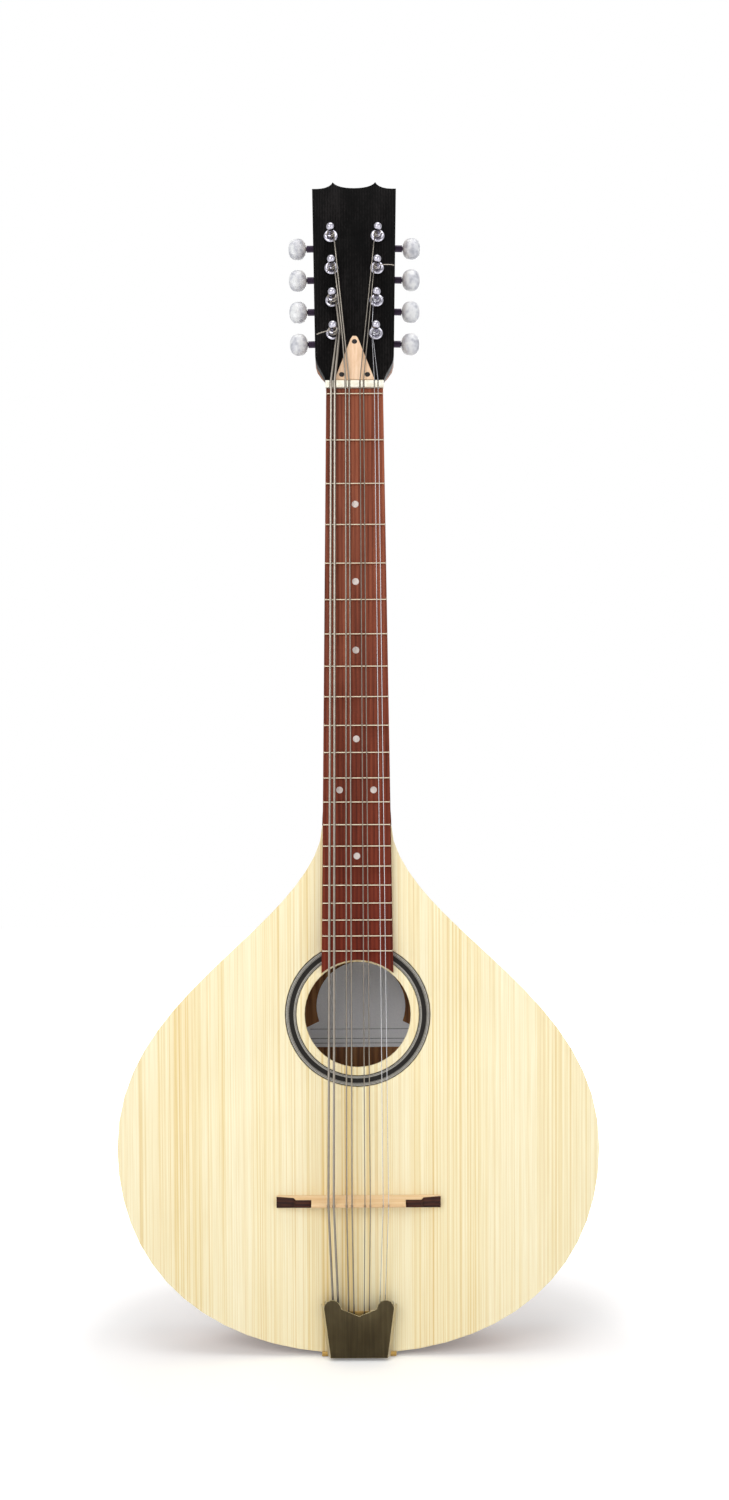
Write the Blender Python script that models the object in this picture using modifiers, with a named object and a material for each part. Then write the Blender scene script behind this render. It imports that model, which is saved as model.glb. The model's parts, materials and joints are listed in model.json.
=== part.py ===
"""Mandocello: eight strings in four pairs, teardrop body, floating bridge, geared tuners.

Metres, +Z up. The strings run along Z with the head at the top and the front facing -Y. The
origin is on the centre line at the zero fret, in the plane of the soundboard's front face.
"""

import math

import bmesh
import bpy
from mathutils import Matrix, Vector

CLEAR = 0.0003  # gap left between pieces that touch
CUT_OVER = 0.0100  # how far a cutter runs past what it cuts

# Scale, frets and strings
SCALE_LENGTH = 0.650
COMPENSATION = 0.0011
FRET_COUNT = 20
FRET_WIDTH = 0.0023
FRET_HEIGHT = 0.0011
FRET_END_INSET = 0.0006
FRET_SUNK = 0.0005
GAUGES = {"c": 0.0019, "g": 0.0012, "d": 0.00086, "a": 0.00056}
COURSES = ("c", "g", "d", "a")
COURSE_PITCH_NUT = 0.0115
COURSE_PITCH_BRIDGE = 0.01475
COURSE_PITCH_TAIL = 0.0124
PAIR_GAP_NUT = 0.0029
PAIR_GAP_BRIDGE = 0.0044
PAIR_GAP_TAIL = 0.0042
WOUND_COURSES = ("c", "g", "d")

# Fretboard and nut
BOARD_START = 0.0043
BOARD_THICK = 0.0060
BOARD_HALF_START = 0.0227
BOARD_TAPER = 0.01374
BOARD_HOLE_MARGIN = 0.0018
NUT_THICK = 0.0054
NUT_HALF = 0.02325
NUT_HEIGHT = 0.0094
NUT_DROP = 0.0003
NUT_BEND = 0.0005

# Body
BODY_TOP = 0.3440
BODY_END = 0.7776
BODY_DEPTH = 0.0820
TIP_HALF = 0.0281
TIP_HANDLE = 0.0321
SHOULDER = (0.0873, 0.4316)
SHOULDER_ANGLE = 0.82
SHOULDER_HANDLES = (0.0263, 0.0763)
BODY_HALF = 0.1971
WIDEST = 0.6077
WIDEST_HANDLES = (0.0781, 0.1021)
END_HANDLE = 0.1214
SOUNDBOARD_THICK = 0.0030
BACK_THICK = 0.0028
SIDE_THICK = 0.0022
LINING_WIDTH = 0.0060
FRAME_DEPTH = 0.0120
BRACE_WIDTH = 0.0090
TOP_BRACES = (0.430, 0.575, 0.715)
TONE_BARS = (0.045, 0.070)
BACK_BRACES = (0.450, 0.560, 0.680)
GAP_MARGIN = 0.0020
BLOCK_HALF = 0.0380
BLOCK_THICK = 0.0240
HOLE_CENTRE = 0.4977
HOLE_RADIUS = 0.0432
ROSETTE_INNER = 0.0503
ROSETTE_OUTER = 0.0590
ROSETTE_THICK = 0.0012

# Neck
NECK_DEPTH_NUT = 0.0150
NECK_DEPTH_HEEL = 0.0175
HEEL_START = 0.2980
HEEL_FLARE_START = 0.3270
NECK_ROUNDNESS = 2.3
HEEL_ROUNDNESS = 12.0
HEEL_STEPS = 7
NECK_SIDES = 14
FOOT_LENGTH = 0.0440
FOOT_SIDE_MARGIN = 0.0004
TRUSS_RADIUS = 0.0022
TRUSS_CENTRE_DEPTH = 0.0054
TRUSS_MARGIN = 0.0004
TRUSS_END = 0.3200
TRUSS_NUT_REACH = 0.0200
TRUSS_POCKET_REACH = 0.0270
TRUSS_SOCKET = 0.0012

# Head
HEAD_TILT = math.radians(16)
HEAD_HALF_THROAT = 0.0232
HEAD_HALF_LOW = 0.0317
HEAD_HALF_TOP = 0.0348
HEAD_FLARE = 0.0240
HEAD_LENGTH = 0.1802
HEAD_CORE = 0.0165
HEAD_ROUNDNESS = 24.0
HEADPLATE_THICK = 0.0020
HORN_X = 0.0177
HORN_HEIGHT = 0.0064
DIP_HEIGHT = 0.0006
HORN_FOOT_X = 0.0310
COVER_HALF_LOW = 0.0160
COVER_HALF_TOP = 0.0029
COVER_START = 0.0009
COVER_LENGTH = 0.0394
COVER_THICK = 0.0016
COVER_HOLES = ((0.0, 0.0343), (-0.0103, 0.0044), (0.0103, 0.0044))
COVER_HOLE_RADIUS = 0.0017

# Tuners, four to a side, numbered from the top
TUNERS = (1, 2, 3, 4)
POST_COURSES = {"left": ("g", "g", "c", "c"), "right": ("d", "d", "a", "a")}
POST_PITCH = 0.0303
POST_ROW_CENTRE = 0.0890
POST_ROW_OFFSET = 0.01825
ROW_SPLAY = math.radians(1.25)
POST_RADIUS = 0.0030
POST_SIDES = 10
POST_WAIST = 0.0020
BALL_RADIUS = 0.0034
BALL_CENTRE = 0.0140
FERRULE_HEIGHT = 0.0018
FERRULE_RADIUS = 0.0060
FERRULE_TUBE = 0.0044
FERRULE_DEPTH = 0.0080
FERRULE_SIDES = 12
WINDING_TURNS = {"c": 1.25, "g": 1.25, "d": 2.25, "a": 2.25}
WINDING_OFF_POST = 0.00015
WINDING_PITCH_SHARE = 1.7
WINDING_LEAST_GAP = 0.00045
WINDING_TAIL = 0.0003
WINDING_STEPS = 12
STRING_APPROACH = 0.0035
PLATE_THICK = 0.0012
PLATE_INNER = 0.0085
PLATE_OUTER = 0.0120
PLATE_BELOW = 0.0100
PLATE_ABOVE = 0.0150
WORM_HEIGHT = 0.0057
WHEEL_TEETH = 14
WHEEL_PITCH_RADIUS = 0.0055
WHEEL_THICK = 0.0035
WHEEL_ROOT = 0.0046
WHEEL_TIP = 0.00575
TOOTH_HALF_ROOT = 0.00075
TOOTH_HALF_TIP = 0.00018
WORM_PITCH_RADIUS = 0.00275
WORM_CORE = 0.0022
RIDGE_CENTRE = 0.0026
RIDGE_HALF = 0.00075
WORM_HALF_LENGTH = 0.0043
WORM_TURNS = 2.25
WORM_STEPS = 8
SHAFT_RADIUS = 0.0016
LUG_START = 0.0046
LUG_THICK = 0.0020
LUG_WIDTH = 0.0066
LUG_ABOVE_AXIS = 0.0027
SHAFT_END = 0.0010
COLLAR_RADIUS = 0.0028
COLLAR_START = 0.0135
BUTTON_REACH = 0.0285
BUTTON_SIZE = (0.0150, 0.0092, 0.0192)
TANG_RADIUS = 0.0015
TANG_LENGTH = 0.0070

# Bridge and tailpiece
BRIDGE_HEIGHT = 0.0180
BRIDGE_HALF = 0.0670
BRIDGE_BASE = 0.0105
BRIDGE_CREST = 0.0016
NOTCH_DEPTH = 0.0012
CAP_LENGTH = 0.0288
CAP_THICK = 0.0020
WING_END_HEIGHT = 0.0042
WING_LOW_HEIGHT = 0.0065
WING_HIGH_HEIGHT = 0.0102
WING_STEP = 0.0520
WING_SLOPE = 0.0010
TAIL_PLATE_THICK = 0.0012
TAIL_PLATE_HALF = 0.0215
TAIL_PLATE_START = 0.7420
TAIL_APRON = 0.0480
TAIL_TAB_HALF = 0.0306
TAIL_TAB_LENGTH = 0.0022
HOOK_POSITION = 0.7500
HOOK_WIDTH = 0.0024
HOOK_HEIGHT = 0.0058
HOOK_THICK = 0.0014
TAIL_COVER_HEIGHT = 0.0125
TAIL_COVER_SHEET = 0.0009
TAIL_COVER_TOP_HALF = 0.0285
TAIL_COVER_END_HALF = 0.0232
TAIL_EAR_TOP = 0.7292
TAIL_EAR_X = 0.0217
TAIL_EAR_RADIUS = 0.0068
TAIL_SHOULDER = (0.0142, 0.7366)
TAIL_NOTCH = 0.7425
TAIL_COVER_END = 0.7770

BOARD_FACE = -(CLEAR + BOARD_THICK)
FRET_TOP = BOARD_FACE - FRET_HEIGHT
NUT_START = BOARD_START + CLEAR
NUT_END = NUT_START + NUT_THICK
HEAD_PIVOT = Vector((0, 0, NUT_END + CLEAR))
HEAD = Matrix.Translation(HEAD_PIVOT) @ Matrix.Rotation(-HEAD_TILT, 4, "X")
HEAD_FACE = -(CLEAR + HEADPLATE_THICK)
PLATE_BACK = HEAD_CORE + CLEAR + PLATE_THICK
WORM_DEPTH = PLATE_BACK + WORM_HEIGHT
WORM_OFFSET = WHEEL_PITCH_RADIUS + WORM_PITCH_RADIUS
WORM_LEAD = 2 * math.pi * WHEEL_PITCH_RADIUS / WHEEL_TEETH
BRIDGE_LINE = SCALE_LENGTH + COMPENSATION
INNER_FRONT = SOUNDBOARD_THICK + CLEAR
INNER_BACK = BODY_DEPTH - BACK_THICK - CLEAR
SIDES = {"left": -1, "right": 1}


def clear_scene():
    for obj in list(bpy.data.objects):
        bpy.data.objects.remove(obj, do_unlink=True)


def collection(name):
    made = bpy.data.collections.new(name)
    bpy.context.scene.collection.children.link(made)
    return made


def material(name, colour, roughness, metallic=0.0):
    """A Principled material; colour is the sRGB hex value."""
    made = bpy.data.materials.get(name)
    if made:
        return made
    made = bpy.data.materials.new(name)
    made.use_nodes = True
    shader = made.node_tree.nodes["Principled BSDF"]
    channels = [int(colour[i : i + 2], 16) / 255 for i in (0, 2, 4)]
    linear = [c / 12.92 if c <= 0.04045 else ((c + 0.055) / 1.055) ** 2.4 for c in channels]
    shader.inputs["Base Color"].default_value = (*linear, 1)
    shader.inputs["Roughness"].default_value = roughness
    shader.inputs["Metallic"].default_value = metallic
    return made


def welded(mesh):
    """The mesh with coincident points merged and its faces turned outwards."""
    bm = bmesh.new()
    bm.from_mesh(mesh)
    bmesh.ops.remove_doubles(bm, verts=bm.verts, dist=1e-6)
    bmesh.ops.recalc_face_normals(bm, faces=bm.faces)
    bm.to_mesh(mesh)
    bm.free()
    return mesh


def evaluated(data, prepare=None):
    """The mesh that Blender makes from a curve or from a mesh with modifiers."""
    scratch = bpy.data.objects.new("scratch", data)
    bpy.context.scene.collection.objects.link(scratch)
    if prepare:
        prepare(scratch)
    graph = bpy.context.evaluated_depsgraph_get()
    mesh = bpy.data.meshes.new_from_object(scratch.evaluated_get(graph))
    bpy.data.objects.remove(scratch)
    return mesh


def moved(mesh, matrix):
    """A copy of the mesh moved by the matrix."""
    copy = mesh.copy()
    copy.transform(matrix)
    return copy


def merged(meshes):
    """One mesh that holds several separate closed shapes."""
    bm = bmesh.new()
    for mesh in meshes:
        bm.from_mesh(mesh)
    made = bpy.data.meshes.new("merged")
    bm.to_mesh(made)
    bm.free()
    return made


def combined(mesh, tool, operation):
    """The mesh after a Boolean with the tool."""
    cutter = bpy.data.objects.new("cutter", tool)
    bpy.context.scene.collection.objects.link(cutter)

    def add_boolean(scratch):
        modifier = scratch.modifiers.new(operation.lower(), "BOOLEAN")
        modifier.operation = operation
        modifier.object = cutter

    made = evaluated(mesh, add_boolean)
    bpy.data.objects.remove(cutter)
    return welded(made)


def cut(mesh, *tools):
    return combined(mesh, merged(tools), "DIFFERENCE")


def joined(mesh, *others):
    for other in others:
        mesh = combined(mesh, other, "UNION")
    return mesh


def extruded(outlines, low, high, axis="Y"):
    """A solid from flat closed outlines. Along Y they hold (x, z), along X (y, z), along Z (x, y)."""
    curve = bpy.data.curves.new("outline", "CURVE")
    curve.dimensions = "2D"
    curve.fill_mode = "BOTH"
    curve.extrude = (high - low) / 2
    for outline in outlines:
        spline = curve.splines.new("POLY")
        spline.points.add(len(outline) - 1)
        for point, (a, b) in zip(spline.points, outline):
            point.co = (a, b, 0, 1)
        spline.use_cyclic_u = True
    mesh = evaluated(curve)
    middle = (low + high) / 2
    if axis == "Y":
        place = Matrix.Translation((0, middle, 0)) @ Matrix.Rotation(math.pi / 2, 4, "X")
    elif axis == "X":
        turn = Matrix(((0, 0, 1, 0), (1, 0, 0, 0), (0, 1, 0, 0), (0, 0, 0, 1)))
        place = Matrix.Translation((middle, 0, 0)) @ turn
    else:
        place = Matrix.Translation((0, 0, middle))
    mesh.transform(place)
    return welded(mesh)


def box(low, high):
    bm = bmesh.new()
    bmesh.ops.create_cube(bm, size=1)
    size = Vector(high) - Vector(low)
    centre = (Vector(high) + Vector(low)) / 2
    bm.transform(Matrix.Translation(centre) @ Matrix.Diagonal((*size, 1)))
    mesh = bpy.data.meshes.new("box")
    bm.to_mesh(mesh)
    bm.free()
    return mesh


def cylinder(radius, low, high, sides=12, axis="Y", centre=(0, 0)):
    """A cylinder; centre is its place on the two other axes."""
    bm = bmesh.new()
    bmesh.ops.create_cone(
        bm, cap_ends=True, segments=sides, radius1=radius, radius2=radius, depth=high - low
    )
    middle = (low + high) / 2
    if axis == "Y":
        place = Matrix.Translation((centre[0], middle, centre[1])) @ Matrix.Rotation(math.pi / 2, 4, "X")
    elif axis == "X":
        place = Matrix.Translation((middle, centre[0], centre[1])) @ Matrix.Rotation(math.pi / 2, 4, "Y")
    else:
        place = Matrix.Translation((centre[0], centre[1], middle))
    bm.transform(place)
    mesh = bpy.data.meshes.new("cylinder")
    bm.to_mesh(mesh)
    bm.free()
    return mesh


def turned(profile, sides, closed=False):
    """A turned solid about Y. The profile holds (radius, y) from the front (-Y) to the back."""
    mesh = bpy.data.meshes.new("profile")
    points = [(radius, 0, -y) for radius, y in profile]
    edges = [(i, i + 1) for i in range(len(points) - 1)]
    if closed:
        edges.append((len(points) - 1, 0))
    mesh.from_pydata(points, edges, [])

    def add_screw(scratch):
        screw = scratch.modifiers.new("turn", "SCREW")
        screw.steps = sides
        screw.render_steps = sides
        screw.use_merge_vertices = True
        screw.merge_threshold = 1e-6

    made = evaluated(mesh, add_screw)
    made.transform(Matrix.Rotation(math.pi / 2, 4, "X"))
    return welded(made)


def tube(points, radius, resolution=1, level=False):
    """A wire along the points. level keeps one side of its section upright along Y."""
    curve = bpy.data.curves.new("wire", "CURVE")
    curve.dimensions = "3D"
    curve.bevel_depth = radius
    curve.bevel_resolution = resolution
    curve.use_fill_caps = True
    if level:
        curve.twist_mode = "Z_UP"
    spline = curve.splines.new("POLY")
    spline.points.add(len(points) - 1)
    for point, place in zip(spline.points, points):
        point.co = (*place, 1)
    return welded(evaluated(curve))


def lofted(rings):
    """A closed skin over rings of points, each with the same number of points."""
    bm = bmesh.new()
    loops = [[bm.verts.new(point) for point in ring] for ring in rings]
    for lower, upper in zip(loops, loops[1:]):
        count = len(lower)
        for i in range(count):
            j = (i + 1) % count
            bm.faces.new((lower[i], lower[j], upper[j], upper[i]))
    bm.faces.new(loops[0])
    bm.faces.new(loops[-1])
    bmesh.ops.recalc_face_normals(bm, faces=bm.faces)
    mesh = bpy.data.meshes.new("loft")
    bm.to_mesh(mesh)
    bm.free()
    return mesh


def place(name, mesh, finish, parent=None, location=(0, 0, 0), smooth=False):
    """Puts a finished piece in the instrument's collection."""
    obj = bpy.data.objects.new(name, mesh)
    if not mesh.materials:
        mesh.materials.append(finish)
    if smooth:
        mesh.shade_smooth()
        mesh.set_sharp_from_angle(angle=math.radians(35))
    obj.parent = parent
    obj.location = location
    bpy.data.collections["mandocello"].objects.link(obj)
    return obj


def empty(name, matrix, parent=None):
    obj = bpy.data.objects.new(name, None)
    obj.empty_display_size = 0.02
    bpy.data.collections["mandocello"].objects.link(obj)
    obj.parent = parent
    obj.matrix_local = matrix
    return obj


def smoothstep(share):
    share = min(max(share, 0.0), 1.0)
    return share * share * (3 - 2 * share)


def blend(low, high, share):
    return low + (high - low) * share


def bezier(start, first, second, end, steps):
    """Points along one cubic curve, the end left out."""
    points = []
    for i in range(steps):
        t = i / steps
        weights = ((1 - t) ** 3, 3 * (1 - t) ** 2 * t, 3 * (1 - t) * t * t, t**3)
        points.append(
            tuple(
                sum(w * p[k] for w, p in zip(weights, (start, first, second, end)))
                for k in (0, 1)
            )
        )
    return points


def body_half(inset=0.0):
    """Right half of the body's outline, from the neck to the end, as (x, z), drawn in by inset."""
    tip = (TIP_HALF, BODY_TOP)
    side = (BODY_HALF, WIDEST)
    end = (0.0, BODY_END)
    lean = (math.sin(SHOULDER_ANGLE), math.cos(SHOULDER_ANGLE))
    before, after = SHOULDER_HANDLES
    above, below = WIDEST_HANDLES
    points = bezier(
        tip,
        (tip[0], tip[1] + TIP_HANDLE),
        (SHOULDER[0] - lean[0] * before, SHOULDER[1] - lean[1] * before),
        SHOULDER,
        8,
    )
    points += bezier(
        SHOULDER,
        (SHOULDER[0] + lean[0] * after, SHOULDER[1] + lean[1] * after),
        (side[0], side[1] - above),
        side,
        10,
    )
    points += bezier(side, (side[0], side[1] + below), (END_HANDLE, end[1]), end, 14)
    points.append(end)
    inner = []
    for i, (x, down) in enumerate(points):
        x0, down0 = points[max(i - 1, 0)]
        x1, down1 = points[min(i + 1, len(points) - 1)]
        if i == 0:
            run = (0.0, 1.0)
        elif i == len(points) - 1:
            run = (-1.0, 0.0)
        else:
            length = math.hypot(x1 - x0, down1 - down0)
            run = ((x1 - x0) / length, (down1 - down0) / length)
        inner.append((x - run[1] * inset, -(down + run[0] * inset)))
    return inner


def body_outline(inset=0.0):
    half = body_half(inset)
    return half + [(-x, z) for x, z in reversed(half[:-1])]


def circle(radius, centre_z, count=48):
    turn = 2 * math.pi / count
    return [
        (radius * math.cos(i * turn), centre_z + radius * math.sin(i * turn)) for i in range(count)
    ]


def board_half(z):
    """Half width of the fretboard at this height."""
    return BOARD_HALF_START + (BOARD_START - z) * BOARD_TAPER


def fret_place(number):
    return -SCALE_LENGTH * (1 - 2 ** (-number / 12))


def make_soundboard(wood):
    plate = extruded([body_outline()], 0, SOUNDBOARD_THICK)
    hole = cylinder(HOLE_RADIUS, -0.01, 0.01, 48, centre=(0, -HOLE_CENTRE))
    groove = extruded(
        [
            circle(ROSETTE_OUTER + CLEAR, -HOLE_CENTRE),
            circle(ROSETTE_INNER - CLEAR, -HOLE_CENTRE),
        ],
        -0.01,
        ROSETTE_THICK + CLEAR,
    )
    place("soundboard", cut(plate, hole, groove), wood)
    ring = [circle(ROSETTE_OUTER, -HOLE_CENTRE), circle(ROSETTE_INNER, -HOLE_CENTRE)]
    inlay = material("inlaid_strips", "6E6A60", 0.5)
    place("rosette", extruded(ring, 0, ROSETTE_THICK), inlay)


def make_back(wood):
    place("back", extruded([body_outline()], BODY_DEPTH - BACK_THICK, BODY_DEPTH), wood)


def make_sides(wood):
    """A strip bent round the outline, open where the neck enters."""
    ribbon = bpy.data.meshes.new("ribbon")
    line = body_outline()
    points = [(x, y, z) for y in (INNER_FRONT, INNER_BACK) for x, z in line]
    count = len(line)
    faces = [(i, i + 1, count + i + 1, count + i) for i in range(count - 1)]
    ribbon.from_pydata(points, [], faces)

    def add_wall(scratch):
        wall = scratch.modifiers.new("wall", "SOLIDIFY")
        wall.thickness = SIDE_THICK
        wall.offset = -1

    place("sides", welded(evaluated(ribbon, add_wall)), wood)


def make_frame(name, face, inward, braces, bar_places, wood):
    """Lining along the sides with cross braces, glued to the plate whose inner face is given.

    inward is +1 or -1, the direction along Y in which the pieces stand up from the plate.
    """
    reach = SIDE_THICK + CLEAR
    low, high = sorted((face, face + inward * FRAME_DEPTH))
    front = low - CUT_OVER
    back = high + CUT_OVER
    half = BRACE_WIDTH / 2
    cells = extruded([body_outline(reach + LINING_WIDTH)], low - CUT_OVER / 2, high + CUT_OVER / 2)
    for middle in braces:
        brace = box((-BODY_HALF, front, -middle - half), (BODY_HALF, back, -middle + half))
        cells = cut(cells, brace)
    if bar_places:
        upper, lower = bar_places
        for side in SIDES.values():
            bar = [
                (side * upper - half, -braces[1]),
                (side * upper + half, -braces[1]),
                (side * lower + half, -braces[2]),
                (side * lower - half, -braces[2]),
            ]
            cells = cut(cells, extruded([bar], front, back))
    frame = extruded([body_outline(reach)], low, high)
    neck_half = TIP_HALF + GAP_MARGIN
    foot_end = -(BODY_TOP + FOOT_LENGTH + GAP_MARGIN)
    neck_gap = box((-neck_half, front, foot_end), (neck_half, back, -BODY_TOP + CUT_OVER))
    block_half = BLOCK_HALF + CLEAR
    block_end = -BODY_END + BLOCK_THICK + CLEAR
    tail_gap = box((-block_half, front, -BODY_END - CUT_OVER), (block_half, back, block_end))
    place(name, cut(cut(frame, neck_gap, tail_gap), cells), wood)


def make_tail_block(wood):
    block = box(
        (-BLOCK_HALF, INNER_FRONT, -BODY_END - CUT_OVER), (BLOCK_HALF, INNER_BACK, -BODY_END + BLOCK_THICK)
    )
    space = extruded([body_outline(SIDE_THICK + CLEAR)], -CUT_OVER, BODY_DEPTH + CUT_OVER)
    place("tail_block", combined(block, space, "INTERSECT"), wood)


def side_frame(side):
    """The middle of one row of posts: X across, Z up along the row, -Y out of the head's front."""
    offset = Matrix.Translation((side * POST_ROW_OFFSET, 0, POST_ROW_CENTRE))
    return HEAD @ offset @ Matrix.Rotation(side * ROW_SPLAY, 4, "Y")


def post_height(number):
    """Height of post 1, at the top, to 4 in its row's frame."""
    return (2.5 - number) * POST_PITCH


def post_frame(side, number):
    return side_frame(side) @ Matrix.Translation((0, 0, post_height(number)))


def post_holes(radius):
    """Cutters through the head where the posts pass."""
    hole = cylinder(radius, -CUT_OVER, HEAD_CORE + CUT_OVER, FERRULE_SIDES)
    return [moved(hole, post_frame(side, n)) for side in SIDES.values() for n in TUNERS]


def head_half(up):
    """Half width of the head at a height above its pivot."""
    if up < HEAD_FLARE:
        return blend(HEAD_HALF_THROAT, HEAD_HALF_LOW, smoothstep(up / HEAD_FLARE))
    return blend(HEAD_HALF_LOW, HEAD_HALF_TOP, (up - HEAD_FLARE) / (HEAD_LENGTH - HEAD_FLARE))


def head_crest():
    """The scalloped top edge from right to left, as (x, height above the pivot)."""
    horn = (HORN_X, HORN_HEIGHT)
    outer = bezier(
        (HORN_FOOT_X, 0.0), (blend(HORN_FOOT_X, HORN_X, 0.5), 0.0), (HORN_X * 1.07, HORN_HEIGHT * 0.4), horn, 5
    )
    inner = bezier(
        horn, (HORN_X * 0.86, HORN_HEIGHT * 0.35), (HORN_X * 0.45, DIP_HEIGHT), (0.0, DIP_HEIGHT), 6
    )
    half = outer + inner
    line = half + [(0.0, DIP_HEIGHT)] + [(-x, up) for x, up in reversed(half)]
    return [(x, HEAD_LENGTH + up) for x, up in line]


def head_outline(low):
    levels = (low, HEAD_FLARE / 4, HEAD_FLARE / 2, HEAD_FLARE * 3 / 4, HEAD_FLARE, HEAD_LENGTH)
    edge = [(head_half(up), up) for up in levels]
    return edge + head_crest() + [(-x, up) for x, up in reversed(edge)]


def truss_channel():
    """Cutter for the rod's channel, open to the front and into the pocket below the cover."""
    half = TRUSS_RADIUS + TRUSS_MARGIN
    depth = TRUSS_CENTRE_DEPTH + TRUSS_RADIUS + TRUSS_MARGIN
    return box((-half, -BOARD_THICK, -TRUSS_END - TRUSS_MARGIN), (half, depth, TRUSS_POCKET_REACH))


def neck_section(half, depth, roundness):
    """A section with a flat front and a round back, as (x, y)."""
    points = []
    for i in range(NECK_SIDES + 1):
        angle = math.pi * i / NECK_SIDES
        across = round(math.cos(angle), 9)
        back = round(math.sin(angle), 9)
        x = math.copysign(abs(across) ** (2 / roundness), across)
        points.append((half * x, depth * back ** (2 / roundness)))
    return points


def make_neck(wood):
    heel_end = -(BODY_TOP - CLEAR)
    foot_share = (TIP_HALF - SIDE_THICK - CLEAR - FOOT_SIDE_MARGIN) / TIP_HALF
    foot_depth = INNER_BACK - INNER_FRONT
    foot = [
        (x * foot_share, INNER_FRONT + y * foot_depth)
        for x, y in neck_section(TIP_HALF, 1.0, HEEL_ROUNDNESS)
    ]
    rings = [[(x, y, z) for x, y in foot] for z in (-(BODY_TOP + FOOT_LENGTH), heel_end)]
    for step in range(HEEL_STEPS + 1):
        share = step / HEEL_STEPS
        z = blend(heel_end, -HEEL_START, share)
        rise = (1 - share) ** 2
        flare = smoothstep((-z - HEEL_FLARE_START) / (-heel_end - HEEL_FLARE_START))
        section = neck_section(
            blend(board_half(z), TIP_HALF, flare),
            blend(NECK_DEPTH_HEEL, BODY_DEPTH, rise),
            blend(NECK_ROUNDNESS, HEEL_ROUNDNESS, rise),
        )
        rings.append([(x, y, z) for x, y in section])
    for z in (-HEEL_START / 2, HEAD_PIVOT.z):
        share = (z + HEEL_START) / HEEL_START
        depth = blend(NECK_DEPTH_HEEL, NECK_DEPTH_NUT, min(share, 1.0))
        rings.append([(x, y, z) for x, y in neck_section(board_half(z), depth, NECK_ROUNDNESS)])
    for up in (*(HEAD_FLARE * i / 4 for i in range(1, 5)), HEAD_LENGTH + 2 * HORN_HEIGHT):
        share = min(up / HEAD_FLARE, 1.0)
        section = neck_section(
            head_half(up),
            blend(NECK_DEPTH_NUT, HEAD_CORE, share),
            blend(NECK_ROUNDNESS, HEAD_ROUNDNESS, share * share),
        )
        rings.append([HEAD @ Vector((x, y, up)) for x, y in section])
    neck = lofted(rings)
    far = HEAD_HALF_TOP + 2 * CUT_OVER
    above = HEAD_LENGTH + 4 * HORN_HEIGHT
    crest = [(far, HEAD_LENGTH), *head_crest(), (-far, HEAD_LENGTH), (-far, above), (far, above)]
    top = extruded([crest], -CUT_OVER, HEAD_CORE + CUT_OVER)
    neck = cut(neck, moved(top, HEAD))
    neck = cut(neck, *post_holes(FERRULE_TUBE + CLEAR), truss_channel())
    place("neck", neck, wood)


def make_headplate(veneer):
    plate = moved(extruded([head_outline(CLEAR)], HEAD_FACE, -CLEAR), HEAD)
    plate = cut(plate, *post_holes(FERRULE_TUBE + CLEAR), truss_channel())
    place("headplate", plate, veneer)


def make_truss_rod(steel):
    """A round rod in the neck, with a hexagonal socket at the head. Its origin is on its axis."""
    rod = cylinder(TRUSS_RADIUS, -TRUSS_END, TRUSS_NUT_REACH, 12, axis="Z")
    socket = cylinder(TRUSS_SOCKET, TRUSS_NUT_REACH - 0.006, TRUSS_NUT_REACH + CUT_OVER, 6, axis="Z")
    place("truss_rod", cut(rod, socket), steel, location=(0, TRUSS_CENTRE_DEPTH, 0))


def make_truss_cover(plastic):
    top = COVER_START + COVER_LENGTH
    outline = [
        (-COVER_HALF_LOW, COVER_START),
        (COVER_HALF_LOW, COVER_START),
        (COVER_HALF_LOW * 0.93, COVER_START + 0.003),
        (COVER_HALF_TOP, top - 0.002),
        (COVER_HALF_TOP * 0.5, top),
        (-COVER_HALF_TOP * 0.5, top),
        (-COVER_HALF_TOP, top - 0.002),
        (-COVER_HALF_LOW * 0.93, COVER_START + 0.003),
    ]
    front = HEAD_FACE - CLEAR - COVER_THICK
    cover = extruded([outline], front, HEAD_FACE - CLEAR)
    holes = [
        cylinder(COVER_HOLE_RADIUS, front - CUT_OVER, CUT_OVER, 12, centre=(x, COVER_START + up))
        for x, up in COVER_HOLES
    ]
    place("truss_rod_cover", moved(cut(cover, *holes), HEAD), plastic)


def make_fretboard(wood):
    radius = HOLE_RADIUS + BOARD_HOLE_MARGIN
    corner = BOARD_HALF_START
    for _ in range(4):
        corner = board_half(-HOLE_CENTRE + math.sqrt(radius**2 - corner**2))
    reach = math.asin(corner / radius)
    end = [
        (radius * math.sin(angle), -HOLE_CENTRE + radius * math.cos(angle))
        for angle in (reach * (1 - i / 6) for i in range(13))
    ]
    outline = [(-board_half(BOARD_START), BOARD_START), (board_half(BOARD_START), BOARD_START), *end]
    board = extruded([outline], BOARD_FACE, -CLEAR)
    width = FRET_WIDTH / 2
    frets = []
    for number in range(FRET_COUNT + 1):
        z = fret_place(number)
        crown = [
            (BOARD_FACE + FRET_SUNK, z - width),
            (BOARD_FACE - FRET_HEIGHT / 2, z - width),
            (FRET_TOP, z - width / 2),
            (FRET_TOP, z + width / 2),
            (BOARD_FACE - FRET_HEIGHT / 2, z + width),
            (BOARD_FACE + FRET_SUNK, z + width),
        ]
        half = board_half(z) - FRET_END_INSET
        frets.append(extruded([crown], -half, half, axis="X"))
    place("fretboard", joined(board, merged(frets)), wood)


def string_x(course, which, pitch, gap):
    """Place across of a string: course 0 to 3 from the left, which is -1 or +1 in its pair."""
    return (course - 1.5) * pitch + which * gap / 2


def all_strings():
    """Every string as (course number, course name, place in its pair)."""
    return [(i, name, which) for i, name in enumerate(COURSES) for which in (-1, 1)]


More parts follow.
